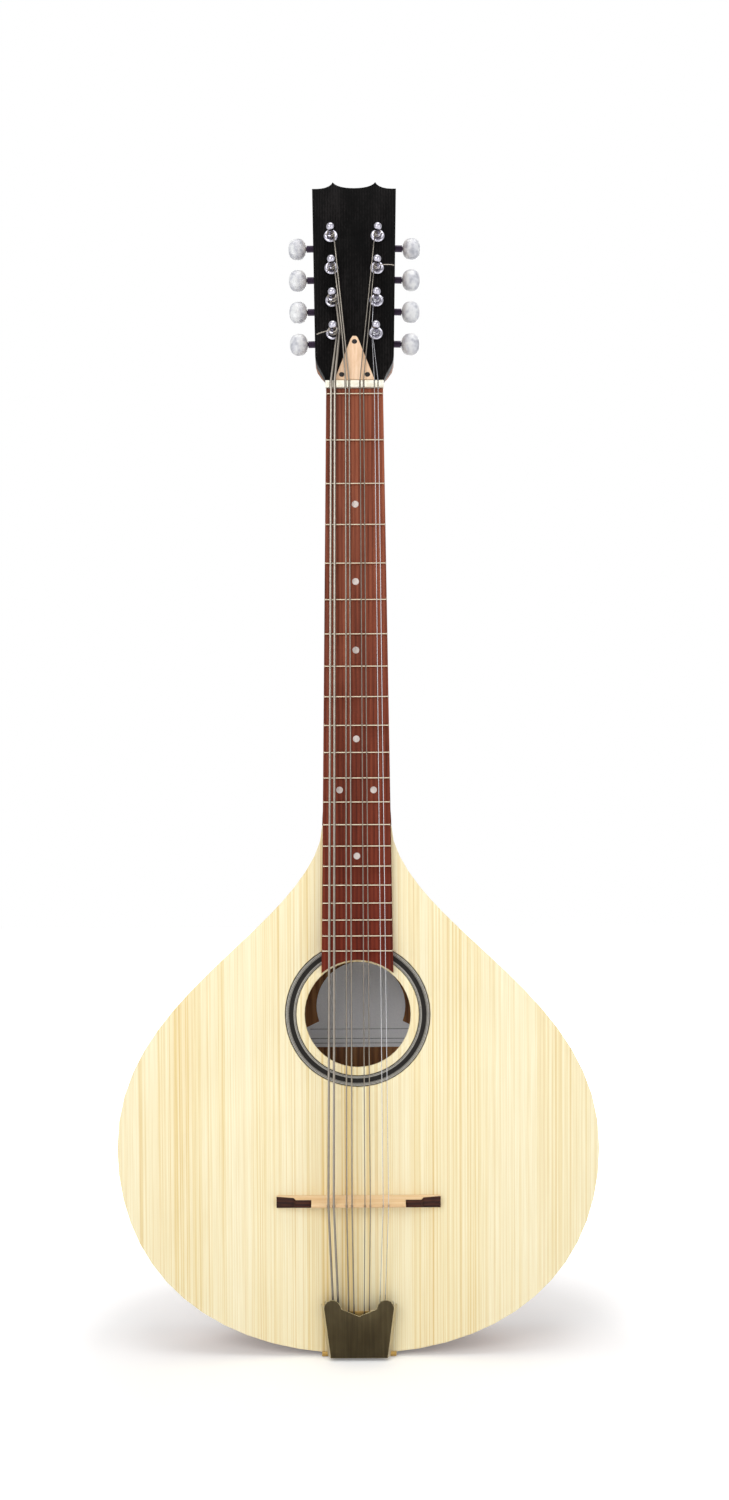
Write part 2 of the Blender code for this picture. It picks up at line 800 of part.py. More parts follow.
def make_nut(bone):
    nut = box((-NUT_HALF, -NUT_HEIGHT, NUT_START), (NUT_HALF, -CLEAR, NUT_END))
    slots = []
    for course, name, which in all_strings():
        x = string_x(course, which, COURSE_PITCH_NUT, PAIR_GAP_NUT)
        half = GAUGES[name] / 2 + CLEAR
        slots.append(box((x - half, -1, NUT_START - 1), (x + half, FRET_TOP + NUT_DROP, NUT_END + 1)))
    place("nut", cut(nut, *slots), bone)


def bridge_prism():
    """The bridge's cross-section run along its whole length."""
    line = -BRIDGE_LINE
    crest = -(CLEAR + BRIDGE_HEIGHT)
    section = [
        (-CLEAR, line - BRIDGE_BASE / 2),
        (-CLEAR, line + BRIDGE_BASE / 2),
        (crest, line + BRIDGE_CREST / 2),
        (crest, line - BRIDGE_CREST / 2),
    ]
    return extruded([section], -BRIDGE_HALF, BRIDGE_HALF, axis="X")


def wing_top(drop):
    """Right wing's stepped upper line from the inside out, as (x, y), lowered by drop."""
    inner = BRIDGE_HALF - CAP_LENGTH
    heights = (WING_HIGH_HEIGHT, WING_HIGH_HEIGHT, WING_LOW_HEIGHT, WING_END_HEIGHT)
    places = (inner, WING_STEP - WING_SLOPE, WING_STEP + WING_SLOPE, BRIDGE_HALF)
    return [(x, -(CLEAR + height - drop)) for x, height in zip(places, heights)]


def make_bridge(maple, rosewood):
    line = -BRIDGE_LINE
    low = line - BRIDGE_BASE
    high = line + BRIDGE_BASE
    inner = BRIDGE_HALF - CAP_LENGTH
    crest = -(CLEAR + BRIDGE_HEIGHT)
    right = [(inner, crest - CUT_OVER), *wing_top(CAP_THICK + CLEAR), (BRIDGE_HALF, CUT_OVER)]
    right[-2] = (BRIDGE_HALF + CLEAR, right[-2][1])
    right[-1] = (BRIDGE_HALF + CLEAR, CUT_OVER)
    outline = right + [(-x, y) for x, y in reversed(right)]
    bridge = combined(bridge_prism(), extruded([outline], low, high, axis="Z"), "INTERSECT")
    notches = []
    for course, name, which in all_strings():
        x = string_x(course, which, COURSE_PITCH_BRIDGE, PAIR_GAP_BRIDGE)
        half = GAUGES[name] / 2 + CLEAR
        notches.append(box((x - half, crest - CUT_OVER, low), (x + half, crest + NOTCH_DEPTH, high)))
    place("bridge", cut(bridge, *notches), maple)
    for label, side in SIDES.items():
        upper = wing_top(0)
        lower = wing_top(CAP_THICK)
        upper[0] = (inner + CLEAR, upper[0][1])
        lower[0] = (inner + CLEAR, lower[0][1])
        cap = [(side * x, y) for x, y in upper + list(reversed(lower))]
        cap = combined(bridge_prism(), extruded([cap], low, high, axis="Z"), "INTERSECT")
        place("bridge_cap_" + label, cap, rosewood)


def make_tailpiece(metal):
    """A plate on the soundboard that folds over the body's end, with a hook for each string."""
    front = -(CLEAR + TAIL_PLATE_THICK)
    edge = -(BODY_END + CLEAR + TAIL_PLATE_THICK)
    plate = box((-TAIL_PLATE_HALF, front, edge), (TAIL_PLATE_HALF, -CLEAR, -TAIL_PLATE_START))
    apron_half = TAIL_PLATE_HALF - TAIL_TAB_LENGTH / 2
    apron = box((-apron_half, front / 2, edge), (apron_half, TAIL_APRON, -(BODY_END + CLEAR)))
    tab = box(
        (-TAIL_TAB_HALF, front, edge), (TAIL_TAB_HALF, -CLEAR, -(BODY_END - TAIL_TAB_LENGTH))
    )
    hooks = []
    for course, _, which in all_strings():
        x = string_x(course, which, COURSE_PITCH_TAIL, PAIR_GAP_TAIL)
        hooks.append(
            box(
                (x - HOOK_WIDTH / 2, front - HOOK_HEIGHT, -HOOK_POSITION - HOOK_THICK / 2),
                (x + HOOK_WIDTH / 2, -CLEAR - TAIL_PLATE_THICK / 2, -HOOK_POSITION + HOOK_THICK / 2),
            )
        )
    place("tailpiece", joined(plate, apron, tab, merged(hooks)), metal)


def make_tail_cover(metal):
    """A tray over the hooks, open below and towards the bridge."""
    ear_z = -(TAIL_EAR_TOP + TAIL_EAR_RADIUS)
    ear = []
    for i in range(7):
        angle = math.radians(150 - 25 * i)
        across = TAIL_EAR_X + TAIL_EAR_RADIUS * math.cos(angle)
        ear.append((across, ear_z + TAIL_EAR_RADIUS * math.sin(angle)))
    shoulder = (TAIL_SHOULDER[0], -TAIL_SHOULDER[1])
    end = -TAIL_COVER_END
    right = [shoulder, *ear, (TAIL_COVER_END_HALF, end)]
    outline = [(0.0, -TAIL_NOTCH), *right, *[(-x, z) for x, z in reversed(right)]]
    seat = -(CLEAR + TAIL_PLATE_THICK + CLEAR)
    tray = extruded([outline], -TAIL_COVER_HEIGHT, seat)
    wide = TAIL_COVER_TOP_HALF - TAIL_COVER_SHEET
    narrow = TAIL_COVER_END_HALF - TAIL_COVER_SHEET
    hollow = [
        (-wide, -TAIL_EAR_TOP + CUT_OVER),
        (wide, -TAIL_EAR_TOP + CUT_OVER),
        (wide, ear_z),
        (narrow, end + TAIL_COVER_SHEET),
        (-narrow, end + TAIL_COVER_SHEET),
        (-wide, ear_z),
    ]
    space = extruded([hollow], -TAIL_COVER_HEIGHT + TAIL_COVER_SHEET, CUT_OVER)
    place("tailpiece_cover", cut(tray, space), metal)


def make_tuner_plate(label, side, parent, metal):
    """The plate behind one row of posts, with two bored lugs for each key shaft."""
    across = sorted((-side * PLATE_INNER, side * PLATE_OUTER))
    front = HEAD_CORE + CLEAR
    plate = box(
        (across[0], front, post_height(4) - PLATE_BELOW), (across[1], PLATE_BACK, post_height(1) + PLATE_ABOVE)
    )
    lugs = []
    holes = []
    for number in TUNERS:
        axis = post_height(number) + WORM_OFFSET
        for lug in (-1, 1):
            ends = sorted((lug * LUG_START, lug * (LUG_START + LUG_THICK)))
            low = (ends[0], front + PLATE_THICK / 2, axis - LUG_WIDTH / 2)
            lugs.append(box(low, (ends[1], WORM_DEPTH + LUG_ABOVE_AXIS, axis + LUG_WIDTH / 2)))
        reach = LUG_START + LUG_THICK + CUT_OVER
        holes.append(cylinder(SHAFT_RADIUS + CLEAR, -reach, reach, 10, "X", (WORM_DEPTH, axis)))
        place_up = (0, post_height(number))
        post = cylinder(POST_RADIUS + CLEAR, front - CUT_OVER, WORM_DEPTH, 10, centre=place_up)
        holes.append(post)
    plate = joined(plate, merged(lugs))
    for hole in holes:
        plate = cut(plate, hole)
    place("tuner_plate_" + label, plate, metal, parent)


def ferrule_mesh():
    bore = POST_RADIUS + CLEAR
    top = HEAD_FACE - FERRULE_HEIGHT
    seat = HEAD_FACE - CLEAR
    profile = [
        (bore, top + CLEAR),
        (blend(bore, FERRULE_RADIUS, 0.35), top),
        (blend(bore, FERRULE_RADIUS, 0.8), blend(top, seat, 0.4)),
        (FERRULE_RADIUS, seat),
        (FERRULE_TUBE, seat),
        (FERRULE_TUBE, FERRULE_DEPTH),
        (bore, FERRULE_DEPTH),
    ]
    return turned(profile, FERRULE_SIDES, closed=True)


def winding_radius(gauge):
    return POST_WAIST + WINDING_OFF_POST + gauge / 2


def winding_start(gauge):
    """Depth at which a string meets its post, in the post's frame."""
    return HEAD_FACE - FERRULE_HEIGHT - CLEAR - gauge / 2


def winding_points(gauge, turns, side):
    """One unbroken wire: a short straight start, the turns up the post, and the end in the post."""
    radius = winding_radius(gauge)
    pitch = max(gauge * WINDING_PITCH_SHARE, gauge + WINDING_LEAST_GAP)
    start = winding_start(gauge)
    points = [(-side * radius, start, -WINDING_TAIL)]
    steps = round(turns * WINDING_STEPS)
    for i in range(steps + 1):
        angle = 2 * math.pi * i / WINDING_STEPS
        y = start - pitch * i / WINDING_STEPS
        points.append((-side * radius * math.cos(angle), y, radius * math.sin(angle)))
    last = points[-1]
    points.append((last[0] * 0.2, last[1], last[2] * 0.2))
    gap = least_gap(points[:-1], gauge)
    print(f"winding of the {gauge * 1000:.2f} mm string: least gap to itself {gap * 1000:.2f} mm")
    return points


def least_gap(points, gauge):
    """Least distance between turns of a winding, surface to surface."""
    places = [Vector(point) for point in points]
    apart = WINDING_STEPS // 2
    return min(
        (places[j] - places[i]).length - gauge
        for i in range(len(places))
        for j in range(i + apart, len(places))
    )


def wheel_mesh():
    """The post's wheel, its teeth twisted to follow the worm, a gap between teeth at +Z."""
    rings = []
    twist = WORM_LEAD / (2 * math.pi * WORM_PITCH_RADIUS * WHEEL_PITCH_RADIUS)
    for ahead in (WHEEL_THICK / 2, -WHEEL_THICK / 2):
        ring = []
        for tooth in range(WHEEL_TEETH):
            middle = math.pi / 2 + (tooth + 0.5) * 2 * math.pi / WHEEL_TEETH + twist * ahead
            for radius, half in (
                (WHEEL_ROOT, -TOOTH_HALF_ROOT),
                (WHEEL_TIP, -TOOTH_HALF_TIP),
                (WHEEL_TIP, TOOTH_HALF_TIP),
                (WHEEL_ROOT, TOOTH_HALF_ROOT),
            ):
                angle = middle + half / radius
                ring.append((radius * math.cos(angle), WORM_DEPTH - ahead, radius * math.sin(angle)))
        rings.append(ring)
    return lofted(rings)


def post_mesh(gauge, turns, side):
    """A string post: ball, waist, journal and wheel, with the string's winding on the waist."""
    profile = [(0.0, -BALL_CENTRE - BALL_RADIUS)]
    for degrees in (35, 65, 95, 120):
        angle = math.radians(degrees)
        profile.append((BALL_RADIUS * math.sin(angle), -BALL_CENTRE - BALL_RADIUS * math.cos(angle)))
    neck = math.sqrt(BALL_RADIUS**2 - POST_WAIST**2)
    waist_end = HEAD_FACE - FERRULE_HEIGHT
    profile += [
        (POST_WAIST, -BALL_CENTRE + neck),
        (POST_WAIST, waist_end - CLEAR),
        (POST_RADIUS, waist_end + CLEAR),
        (POST_RADIUS, WORM_DEPTH),
        (0.0, WORM_DEPTH),
    ]
    post = joined(turned(profile, POST_SIDES), wheel_mesh())
    return joined(post, tube(winding_points(gauge, turns, side), gauge / 2))


def key_mesh(side):
    """A key shaft along X: worm at its origin, journals, collar, and a tang inside the button."""
    button_face = BUTTON_REACH - BUTTON_SIZE[0] / 2 - CLEAR
    inner_end = -(LUG_START + LUG_THICK + SHAFT_END)
    profile = [
        (0.0, inner_end),
        (SHAFT_RADIUS, inner_end),
        (SHAFT_RADIUS, -WORM_HALF_LENGTH),
        (WORM_CORE, -WORM_HALF_LENGTH),
        (WORM_CORE, WORM_HALF_LENGTH),
        (SHAFT_RADIUS, WORM_HALF_LENGTH),
        (SHAFT_RADIUS, COLLAR_START),
        (COLLAR_RADIUS, COLLAR_START),
        (COLLAR_RADIUS, button_face),
        (TANG_RADIUS, button_face),
        (TANG_RADIUS, button_face + TANG_LENGTH),
        (0.0, button_face + TANG_LENGTH),
    ]
    shaft = moved(turned(profile, POST_SIDES), Matrix.Rotation(-side * math.pi / 2, 4, "Z"))
    rings = []
    steps = round(WORM_TURNS * WORM_STEPS)
    for i in range(steps + 1):
        turn = (i - steps / 2) * 2 * math.pi / WORM_STEPS
        middle = WORM_LEAD * turn / (2 * math.pi)
        out = (math.sin(turn), -math.cos(turn))
        ring = []
        for across, radius in (
            (0, RIDGE_CENTRE + RIDGE_HALF),
            (RIDGE_HALF, RIDGE_CENTRE),
            (0, RIDGE_CENTRE - RIDGE_HALF),
            (-RIDGE_HALF, RIDGE_CENTRE),
        ):
            ring.append((middle + across, radius * out[0], radius * out[1]))
        rings.append(ring)
    return joined(shaft, lofted(rings))


def button_mesh(side):
    """An oval button on the shaft's end, bored for the tang."""
    bm = bmesh.new()
    bmesh.ops.create_uvsphere(bm, u_segments=12, v_segments=8, radius=0.5)
    bm.transform(Matrix.Translation((side * BUTTON_REACH, 0, 0)) @ Matrix.Diagonal((*BUTTON_SIZE, 1)))
    ball = bpy.data.meshes.new("button")
    bm.to_mesh(ball)
    bm.free()
    start = BUTTON_REACH - BUTTON_SIZE[0] / 2 - CLEAR
    ends = sorted((side * (start - CUT_OVER), side * (start + TANG_LENGTH + CLEAR)))
    return cut(ball, cylinder(TANG_RADIUS + CLEAR, *ends, 12, "X"))


def make_tuners(metal, purple, pearl):
    ferrule = ferrule_mesh()
    for label, side in SIDES.items():
        row = empty("tuner_row_" + label, side_frame(side))
        make_tuner_plate(label, side, row, metal)
        key = key_mesh(side)
        button = button_mesh(side)
        for number in TUNERS:
            name = f"{label}_{number}"
            gauge = GAUGES[POST_COURSES[label][number - 1]]
            turns = WINDING_TURNS[POST_COURSES[label][number - 1]]
            height = post_height(number)
            place("ferrule_" + name, ferrule.copy(), metal, row, (0, 0, height), smooth=True)
            post = post_mesh(gauge, turns, side)
            place("post_" + name, post, metal, row, (0, 0, height), smooth=True)
            axis = (0, WORM_DEPTH, height + WORM_OFFSET)
            place("key_" + name, key.copy(), purple, row, axis, smooth=True)
            place("button_" + name, button.copy(), pearl, row, axis, smooth=True)


def passing_places(side, strings):
    """Where each string of one side passes each post below its own, in the head's frame.

    strings holds (gauge, x at the nut) from the lowest post's string to the highest's. A string
    keeps clear of the windings that it passes and of the strings that are already laid.
    """
    to_head = HEAD.inverted()
    laid = []
    for rank, (gauge, nut_x) in enumerate(strings):
        number = 4 - rank
        own = to_head @ post_frame(side, number)
        radius = winding_radius(gauge)
        meet = own @ Vector((-side * radius, winding_start(gauge), -WINDING_TAIL - CLEAR))
        start = to_head @ Vector((nut_x, FRET_TOP - gauge / 2, NUT_END + NUT_BEND))
        route = [start]
        for lower in range(rank):
            other_gauge = strings[lower][0]
            post = (to_head @ post_frame(side, 4 - lower)).translation
            share = (post.z - start.z) / (meet.z - start.z)
            point = start.lerp(meet, share)
            sweep = math.hypot(winding_radius(other_gauge) + other_gauge / 2, WINDING_TAIL)
            least = [-side * post.x + sweep + gauge / 2 + CLEAR]
            for earlier in range(lower, rank):
                beside = laid[earlier][1 + lower]
                least.append(-side * beside.x + (strings[earlier][0] + gauge) / 2 + CLEAR)
            inward = max(-side * point.x, *least)
            route.append(Vector((-side * inward, point.y, post.z)))
        before = own @ Vector((-side * radius, winding_start(gauge), -STRING_APPROACH))
        route += [before, meet]
        laid.append(route)
    return [[HEAD @ point for point in route] for route in laid]


def make_strings(steel, wound):
    """Each string runs from its hook over the bridge, zero fret and nut to its post's winding."""
    for label, side in SIDES.items():
        ordered = []
        for number in reversed(TUNERS):
            name = POST_COURSES[label][number - 1]
            course = COURSES.index(name)
            outer = number in (2, 4)
            which = side if outer else -side
            ordered.append((course, name, which, "outer" if outer else "inner"))
        nut_places = [
            (GAUGES[name], string_x(course, which, COURSE_PITCH_NUT, PAIR_GAP_NUT))
            for course, name, which, _ in ordered
        ]
        routes = passing_places(side, nut_places)
        for (course, name, which, word), route in zip(ordered, routes):
            radius = GAUGES[name] / 2
            nut_x = string_x(course, which, COURSE_PITCH_NUT, PAIR_GAP_NUT)
            bridge_x = string_x(course, which, COURSE_PITCH_BRIDGE, PAIR_GAP_BRIDGE)
            tail_x = string_x(course, which, COURSE_PITCH_TAIL, PAIR_GAP_TAIL)
            hook_y = -(CLEAR + TAIL_PLATE_THICK + HOOK_HEIGHT / 2)
            crest_y = -(CLEAR + BRIDGE_HEIGHT - NOTCH_DEPTH + CLEAR + radius)
            points = [
                Vector((tail_x, hook_y, -(HOOK_POSITION - HOOK_THICK / 2 - CLEAR))),
                Vector((bridge_x, crest_y, -BRIDGE_LINE)),
                Vector((nut_x, FRET_TOP - CLEAR - radius, 0)),
                *route,
            ]
            finish = wound if name in WOUND_COURSES else steel
            place(f"string_{name}_{word}", tube(points, radius), finish, smooth=True)


def main():
    clear_scene()
    collection("mandocello")
    spruce = material("spruce_top", "E9DDB4", 0.55)
    walnut = material("back_wood", "6B4A2C", 0.5)
    lining = material("lining_wood", "C9A978", 0.7)
    mahogany = material("neck_wood", "8A5A38", 0.45)
    make_soundboard(spruce)
    make_back(walnut)
    make_sides(walnut)
    make_frame("top_frame", INNER_FRONT, 1, TOP_BRACES, TONE_BARS, lining)
    make_frame("back_frame", INNER_BACK, -1, BACK_BRACES, None, lining)
    make_tail_block(lining)
    make_neck(mahogany)
    make_headplate(material("black_veneer", "1C1A1B", 0.4))
    make_truss_rod(material("rod_steel", "8C8F92", 0.35, 1.0))
    make_truss_cover(material("pale_maple", "E3C9AB", 0.4))
    make_fretboard(material("rosewood_board", "6E3526", 0.55))
    make_nut(material("nut_bone", "EDE3C4", 0.35))
    make_bridge(material("bridge_maple", "D8B27E", 0.45), material("bridge_rosewood", "3A2018", 0.5))
    tail_metal = material("dark_bronze", "4D4331", 0.35, 0.8)
    make_tailpiece(tail_metal)
    make_tail_cover(tail_metal)
    chrome = material("chrome", "D9DADC", 0.15, 1.0)
    make_tuners(chrome, material("key_metal", "2A2230", 0.3, 0.9), material("pearl_button", "D9D8D2", 0.3))
    make_strings(material("plain_steel", "C8C9CB", 0.25, 1.0), material("wound_bronze", "B58E55", 0.35, 1.0))


if __name__ == "__main__":
    main()
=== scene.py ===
"""Finishes for a mandocello: woods, metals, pearl, strings and small fittings round the fixed frame.

Metres, +Z up, the front facing -Y. The origin is on the centre line at the zero fret, in the plane
of the soundboard's front face.
"""

import json
import math

import bmesh
import bpy
from bpy.props import FloatProperty, FloatVectorProperty, IntProperty, PointerProperty
from mathutils import Matrix, Vector


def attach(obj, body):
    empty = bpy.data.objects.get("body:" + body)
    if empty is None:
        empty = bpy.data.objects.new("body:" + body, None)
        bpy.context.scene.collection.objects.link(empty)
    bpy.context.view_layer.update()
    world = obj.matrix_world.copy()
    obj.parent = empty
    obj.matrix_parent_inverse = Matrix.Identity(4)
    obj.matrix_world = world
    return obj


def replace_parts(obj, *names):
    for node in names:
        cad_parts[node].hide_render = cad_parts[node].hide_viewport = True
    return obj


bl_info = {
    "name": "Mandocello Finishes",
    "version": (1, 0, 0),
    "blender": (4, 5, 0),
    "location": "View3D > Sidebar > Mandocello",
    "description": "Dresses a mandocello's solids with wood, metal, pearl, strings and small fittings",
    "category": "Object",
}

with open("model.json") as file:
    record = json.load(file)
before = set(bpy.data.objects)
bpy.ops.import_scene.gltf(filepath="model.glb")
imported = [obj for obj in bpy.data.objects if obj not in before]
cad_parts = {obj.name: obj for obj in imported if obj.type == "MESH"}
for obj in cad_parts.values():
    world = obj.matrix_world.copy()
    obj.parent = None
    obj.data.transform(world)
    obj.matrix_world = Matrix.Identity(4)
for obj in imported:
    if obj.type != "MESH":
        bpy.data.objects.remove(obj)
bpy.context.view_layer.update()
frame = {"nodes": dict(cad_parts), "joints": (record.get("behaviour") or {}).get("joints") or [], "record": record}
JOINTS = {joint["name"]: joint for joint in frame["joints"]}
BODIES = frame["record"]["behaviour"]["bodies"]
BODY_OF = {node: body for body, nodes in BODIES.items() for node in nodes}

# Places and sizes that follow the solids, in metres and radians
CLEAR = 0.0003
HEAD_PIVOT_Z = 0.0103
HEAD_TILT = math.radians(16)
HEAD_FACE = -0.0023
ROW_SPLAY = math.radians(1.25)
HEAD = Matrix.Translation((0, 0, HEAD_PIVOT_Z)) @ Matrix.Rotation(-HEAD_TILT, 4, "X")
FACING = Matrix.Rotation(math.pi / 2, 4, "X")
BOARD_FACE = -0.0063
BOARD_HALF_TOP = 0.0223
BOARD_TAPER = 0.01374
FRET_HEIGHT = 0.0011
HOLE_CENTRE_Z = -0.4977
ROSETTE_INNER = 0.0503
ROSETTE_OUTER = 0.0590
BACK_INSIDE_Y = 0.0792
TAIL_TOP_HALF = 0.0287
TAIL_END_HALF = 0.0234
TAIL_FRONT = -0.0122
TAIL_TOP_Z = -0.7340
TAIL_END_Z = -0.7766
COVER_THICKNESS = 0.0013

# Tuners and strings
SIDES = {"left": -1, "right": 1}
TUNERS = (1, 2, 3, 4)
POST_COURSES = {"left": ("g", "g", "c", "c"), "right": ("d", "d", "a", "a")}
GAUGES = {"c": 0.0019, "g": 0.0012, "d": 0.00086, "a": 0.00056}
WOUND = ("c", "g", "d")
TURNS = {"c": 1.25, "g": 1.25, "d": 2.25, "a": 2.25}
POST_WAIST = 0.0020
WINDING_OFF_POST = 0.00015
WINDING_PITCH_SHARE = 1.7
WINDING_LEAST_GAP = 0.00045
FERRULE_TOP = -0.0041
FERRULE_BORE = 0.0033
FERRULE_NECK = 0.0044
FERRULE_ROLL = 0.0016
FERRULE_RIM = 0.006
FERRULE_FOOT = 0.008
CAP_RADIUS = 0.00345
CAP_CENTRE = -0.014
WHEEL_BACK = 0.0255
PLATE_BACK = 0.0182
BUTTON_REACH = 0.0285
BUTTON_RADII = (0.0075, 0.0046, 0.0096, 1)
BUTTON_FLATNESS = 2.4

# Pieces and colours that are only in this file
FLANGE_REACH = 0.0021
FLANGE_DROP = 0.0060
STAIN_DEPTH = 0.007
STAIN_START = 0.0048
LABEL_X = 0.0024
LABEL_FOOT = 0.048
LABEL_MARGIN = 0.004
LABEL_ARCH = 0.0385
LABEL_ARCH_Z = -0.4995
LABEL_STEP = -0.5185
LABEL_BOTTOM = -0.5352
LABEL_RULES = (-0.5195, -0.5278, -0.5318)
RULE_RADIUS = 0.00025
ROSETTE_STRIPS = (
    (0.00, "2A2826"), (0.035, "A7A49C"), (0.10, "5E5C58"), (0.15, "B9B6AE"), (0.21, "4C4A47"),
    (0.27, "262422"), (0.66, "8C8982"), (0.70, "3A3836"), (0.74, "A9A69E"), (0.81, "66635E"),
    (0.86, "B4B1A9"), (0.93, "2A2826"),
)
DOT_OFFSET = 0.0137
DOTS = ((3, 0), (5, 0), (7, 0), (10, 0), (12, -DOT_OFFSET), (12, DOT_OFFSET), (15, 0))
COVER_SCREWS = ((0, 0, 0.0352), (-0.0103, 0, 0.0053), (0.0103, 0, 0.0053))
APRON_PLACE = (0, 0.036, -0.7791)
APRON_SCREWS = ((0, 0, 0), (-0.012, 0, 0.02), (0.012, 0, 0.02))
PLATE_SCREWS = (0.0095, -0.0062)
PLATE_SCREW_DROP = -0.0065
LOOSE_ENDS = {
    "left": ((0.0025, -20), (0.0050, -62), (0.0060, -80), (0.0115, -14)),
    "right": ((0.0025, -20), (0.0120, 2), (0.0035, 5), (0.0025, -30)),
}
LOOSE_END_SAG = 0.12

# The floor, each lamp's name, place, size and power, and the camera of the photo's view
FLOOR_Z = -0.7797
LAMPS = (
    ("key light", (-1.1, -2.0, 0.6), 1.5, 27),
    ("fill light", (1.5, -1.7, 0.1), 1.4, 11),
    ("top light", (0.1, -0.4, 1.6), 1.2, 14),
    ("back light", (0.4, 2.0, 0.5), 1.5, 14),
)
LAMP_AIM = (0, 0, -0.4)
CAMERA_PLACE = (0.005986, -1.2074, -0.356)
CAMERA_TIP = math.radians(2.1715)
CAMERA_ROLL = math.radians(-0.269)
PHOTO_HEIGHT = 1500
FOCAL_PIXELS = 1487.43
LEVEL_PIXELS = 896.8
SENSOR = 36

# Node kinds used often, the two ways of mixing colours, and the wave scale for one band a metre
NOISE = "ShaderNodeTexNoise"
RAMP = "ShaderNodeValToRGB"
BLENDED = {"data_type": "RGBA", "blend_type": "MIX"}
TINTED = {"data_type": "RGBA", "blend_type": "MULTIPLY"}
BAND = math.pi / 10


class MandocelloSizes(bpy.types.PropertyGroup):
    """Sizes that a user may change."""

    scale_length: FloatProperty(
        name="Scale length", description="Zero fret to bridge", default=0.650, unit="LENGTH"
    )
    fret_count: IntProperty(name="Frets", description="Frets below the zero fret", default=20)
    fret_width: FloatProperty(
        name="Fret width", description="Width of a fret's crown", default=0.00245, unit="LENGTH"
    )
    dot_radius: FloatProperty(
        name="Dot radius", description="Radius of a position dot", default=0.0027, unit="LENGTH"
    )
    edge: FloatProperty(
        name="Edge rounding", description="Radius of the softened edges", default=0.0005, unit="LENGTH"
    )
    grain: FloatProperty(
        name="Grain spacing", description="Spacing of the year rings", default=0.0021, unit="LENGTH"
    )


def linear(colour):
    """An sRGB hex colour as linear light, with full alpha."""
    channels = [int(colour[i : i + 2], 16) / 255 for i in (0, 2, 4)]
    return (*[c / 12.92 if c <= 0.04045 else ((c + 0.055) / 1.055) ** 2.4 for c in channels], 1.0)


class MandocelloColours(bpy.types.PropertyGroup):
    """Main colours that a user may change."""

    spruce: FloatVectorProperty(
        name="Spruce", description="Colour of the soundboard", subtype="COLOR", size=4,
        default=linear("F6EDCC"), min=0, max=1,
    )
    bronze: FloatVectorProperty(
        name="Tailpiece", description="Colour of the tailpiece", subtype="COLOR", size=4,
        default=linear("50462F"), min=0, max=1,
    )


def add_node(tree, kind, inputs=(), stops=(), **settings):
    """Adds a node. inputs maps a socket to a value or to another node's output; stops fill a ramp."""
    made = tree.nodes.new(kind)
    for name, value in settings.items():
        setattr(made, name, value)
    if stops:
        ramp = made.color_ramp
        while len(ramp.elements) < len(stops):
            ramp.elements.new(1.0)
        for element, (place, colour) in zip(ramp.elements, stops):
            element.position = place
            element.color = linear(colour)
    for key, value in dict(inputs).items():
        socket = made.inputs[key]
        if isinstance(value, bpy.types.NodeSocket):
            tree.links.new(value, socket)
        else:
            socket.default_value = value
    return made


def new_material(name, roughness=0.5, metallic=0.0, coat=0.0, specular=0.5):
    """A material with its shader and the object's own coordinates."""
    made = bpy.data.materials.new(name)
    made.use_nodes = True
    tree = made.node_tree
    shader = tree.nodes["Principled BSDF"]
    shader.inputs["Roughness"].default_value = roughness
    shader.inputs["Metallic"].default_value = metallic
    shader.inputs["Coat Weight"].default_value = coat
    shader.inputs["Specular IOR Level"].default_value = specular
    place = add_node(tree, "ShaderNodeTexCoord").outputs["Object"]
    return made, tree, shader, place


def pattern(tree, kind, place, scale, inputs, **settings):
    """Adds a pattern on coordinates stretched by a scale for each axis; returns its value."""
    spread = add_node(tree, "ShaderNodeMapping", {"Vector": place, "Scale": scale})
    made = add_node(tree, kind, {"Vector": spread.outputs[0], **inputs}, **settings)
    return made.outputs["Fac"]


def spruce(sizes, colours):
    """Unfinished spruce, planed and sanded: cream, with uneven year rings and a few broad tan bands."""
    made, tree, shader, place = new_material("spruce, sanded", roughness=0.7, specular=0.15)
    rings = pattern(tree, NOISE, place, (1.5 / sizes.grain, 1, 1), {"Scale": 1.0, "Detail": 2.0})
    coarse = {"Scale": 1.0, "Detail": 3.0, "Roughness": 0.6}
    bands = pattern(tree, NOISE, place, (17, 1, 0.5), coarse)
    fibre = pattern(tree, NOISE, place, (900, 900, 14), {"Scale": 1.0, "Detail": 4.0})
    creams = ((0.38, "F8F1D6"), (0.55, "F4EAC8"), (0.70, "EBD3A0"))
    ramp = add_node(tree, RAMP, {"Fac": bands}, stops=creams)
    tans = ((0.46, "FFFFFF"), (0.60, "F1E4C2"), (0.74, "E2C594"))
    dark = add_node(tree, RAMP, {"Fac": rings}, stops=tans)
    limits = {"From Min": 0.40, "From Max": 0.66, "To Min": 0.25, "To Max": 1.0}
    strength = add_node(tree, "ShaderNodeMapRange", {"Value": bands, **limits})
    base = add_node(tree, "ShaderNodeMix", {0: 0.45, 6: ramp.outputs[0], 7: colours.spruce}, **BLENDED)
    ringed = add_node(
        tree, "ShaderNodeMix", {0: strength.outputs[0], 6: base.outputs[2], 7: dark.outputs[0]}, **TINTED
    )
    pale = ((0.3, "F3ECDC"), (0.7, "FFFFFF"))
    fine = add_node(tree, RAMP, {"Fac": fibre}, stops=pale)
    tone = add_node(tree, "ShaderNodeMix", {0: 0.7, 6: ringed.outputs[2], 7: fine.outputs[0]}, **TINTED)
    tree.links.new(tone.outputs[2], shader.inputs["Base Color"])
    height = add_node(tree, "ShaderNodeBump", {"Height": rings, "Strength": 0.1, "Distance": 0.0002})
    tree.links.new(height.outputs[0], shader.inputs["Normal"])
    return made


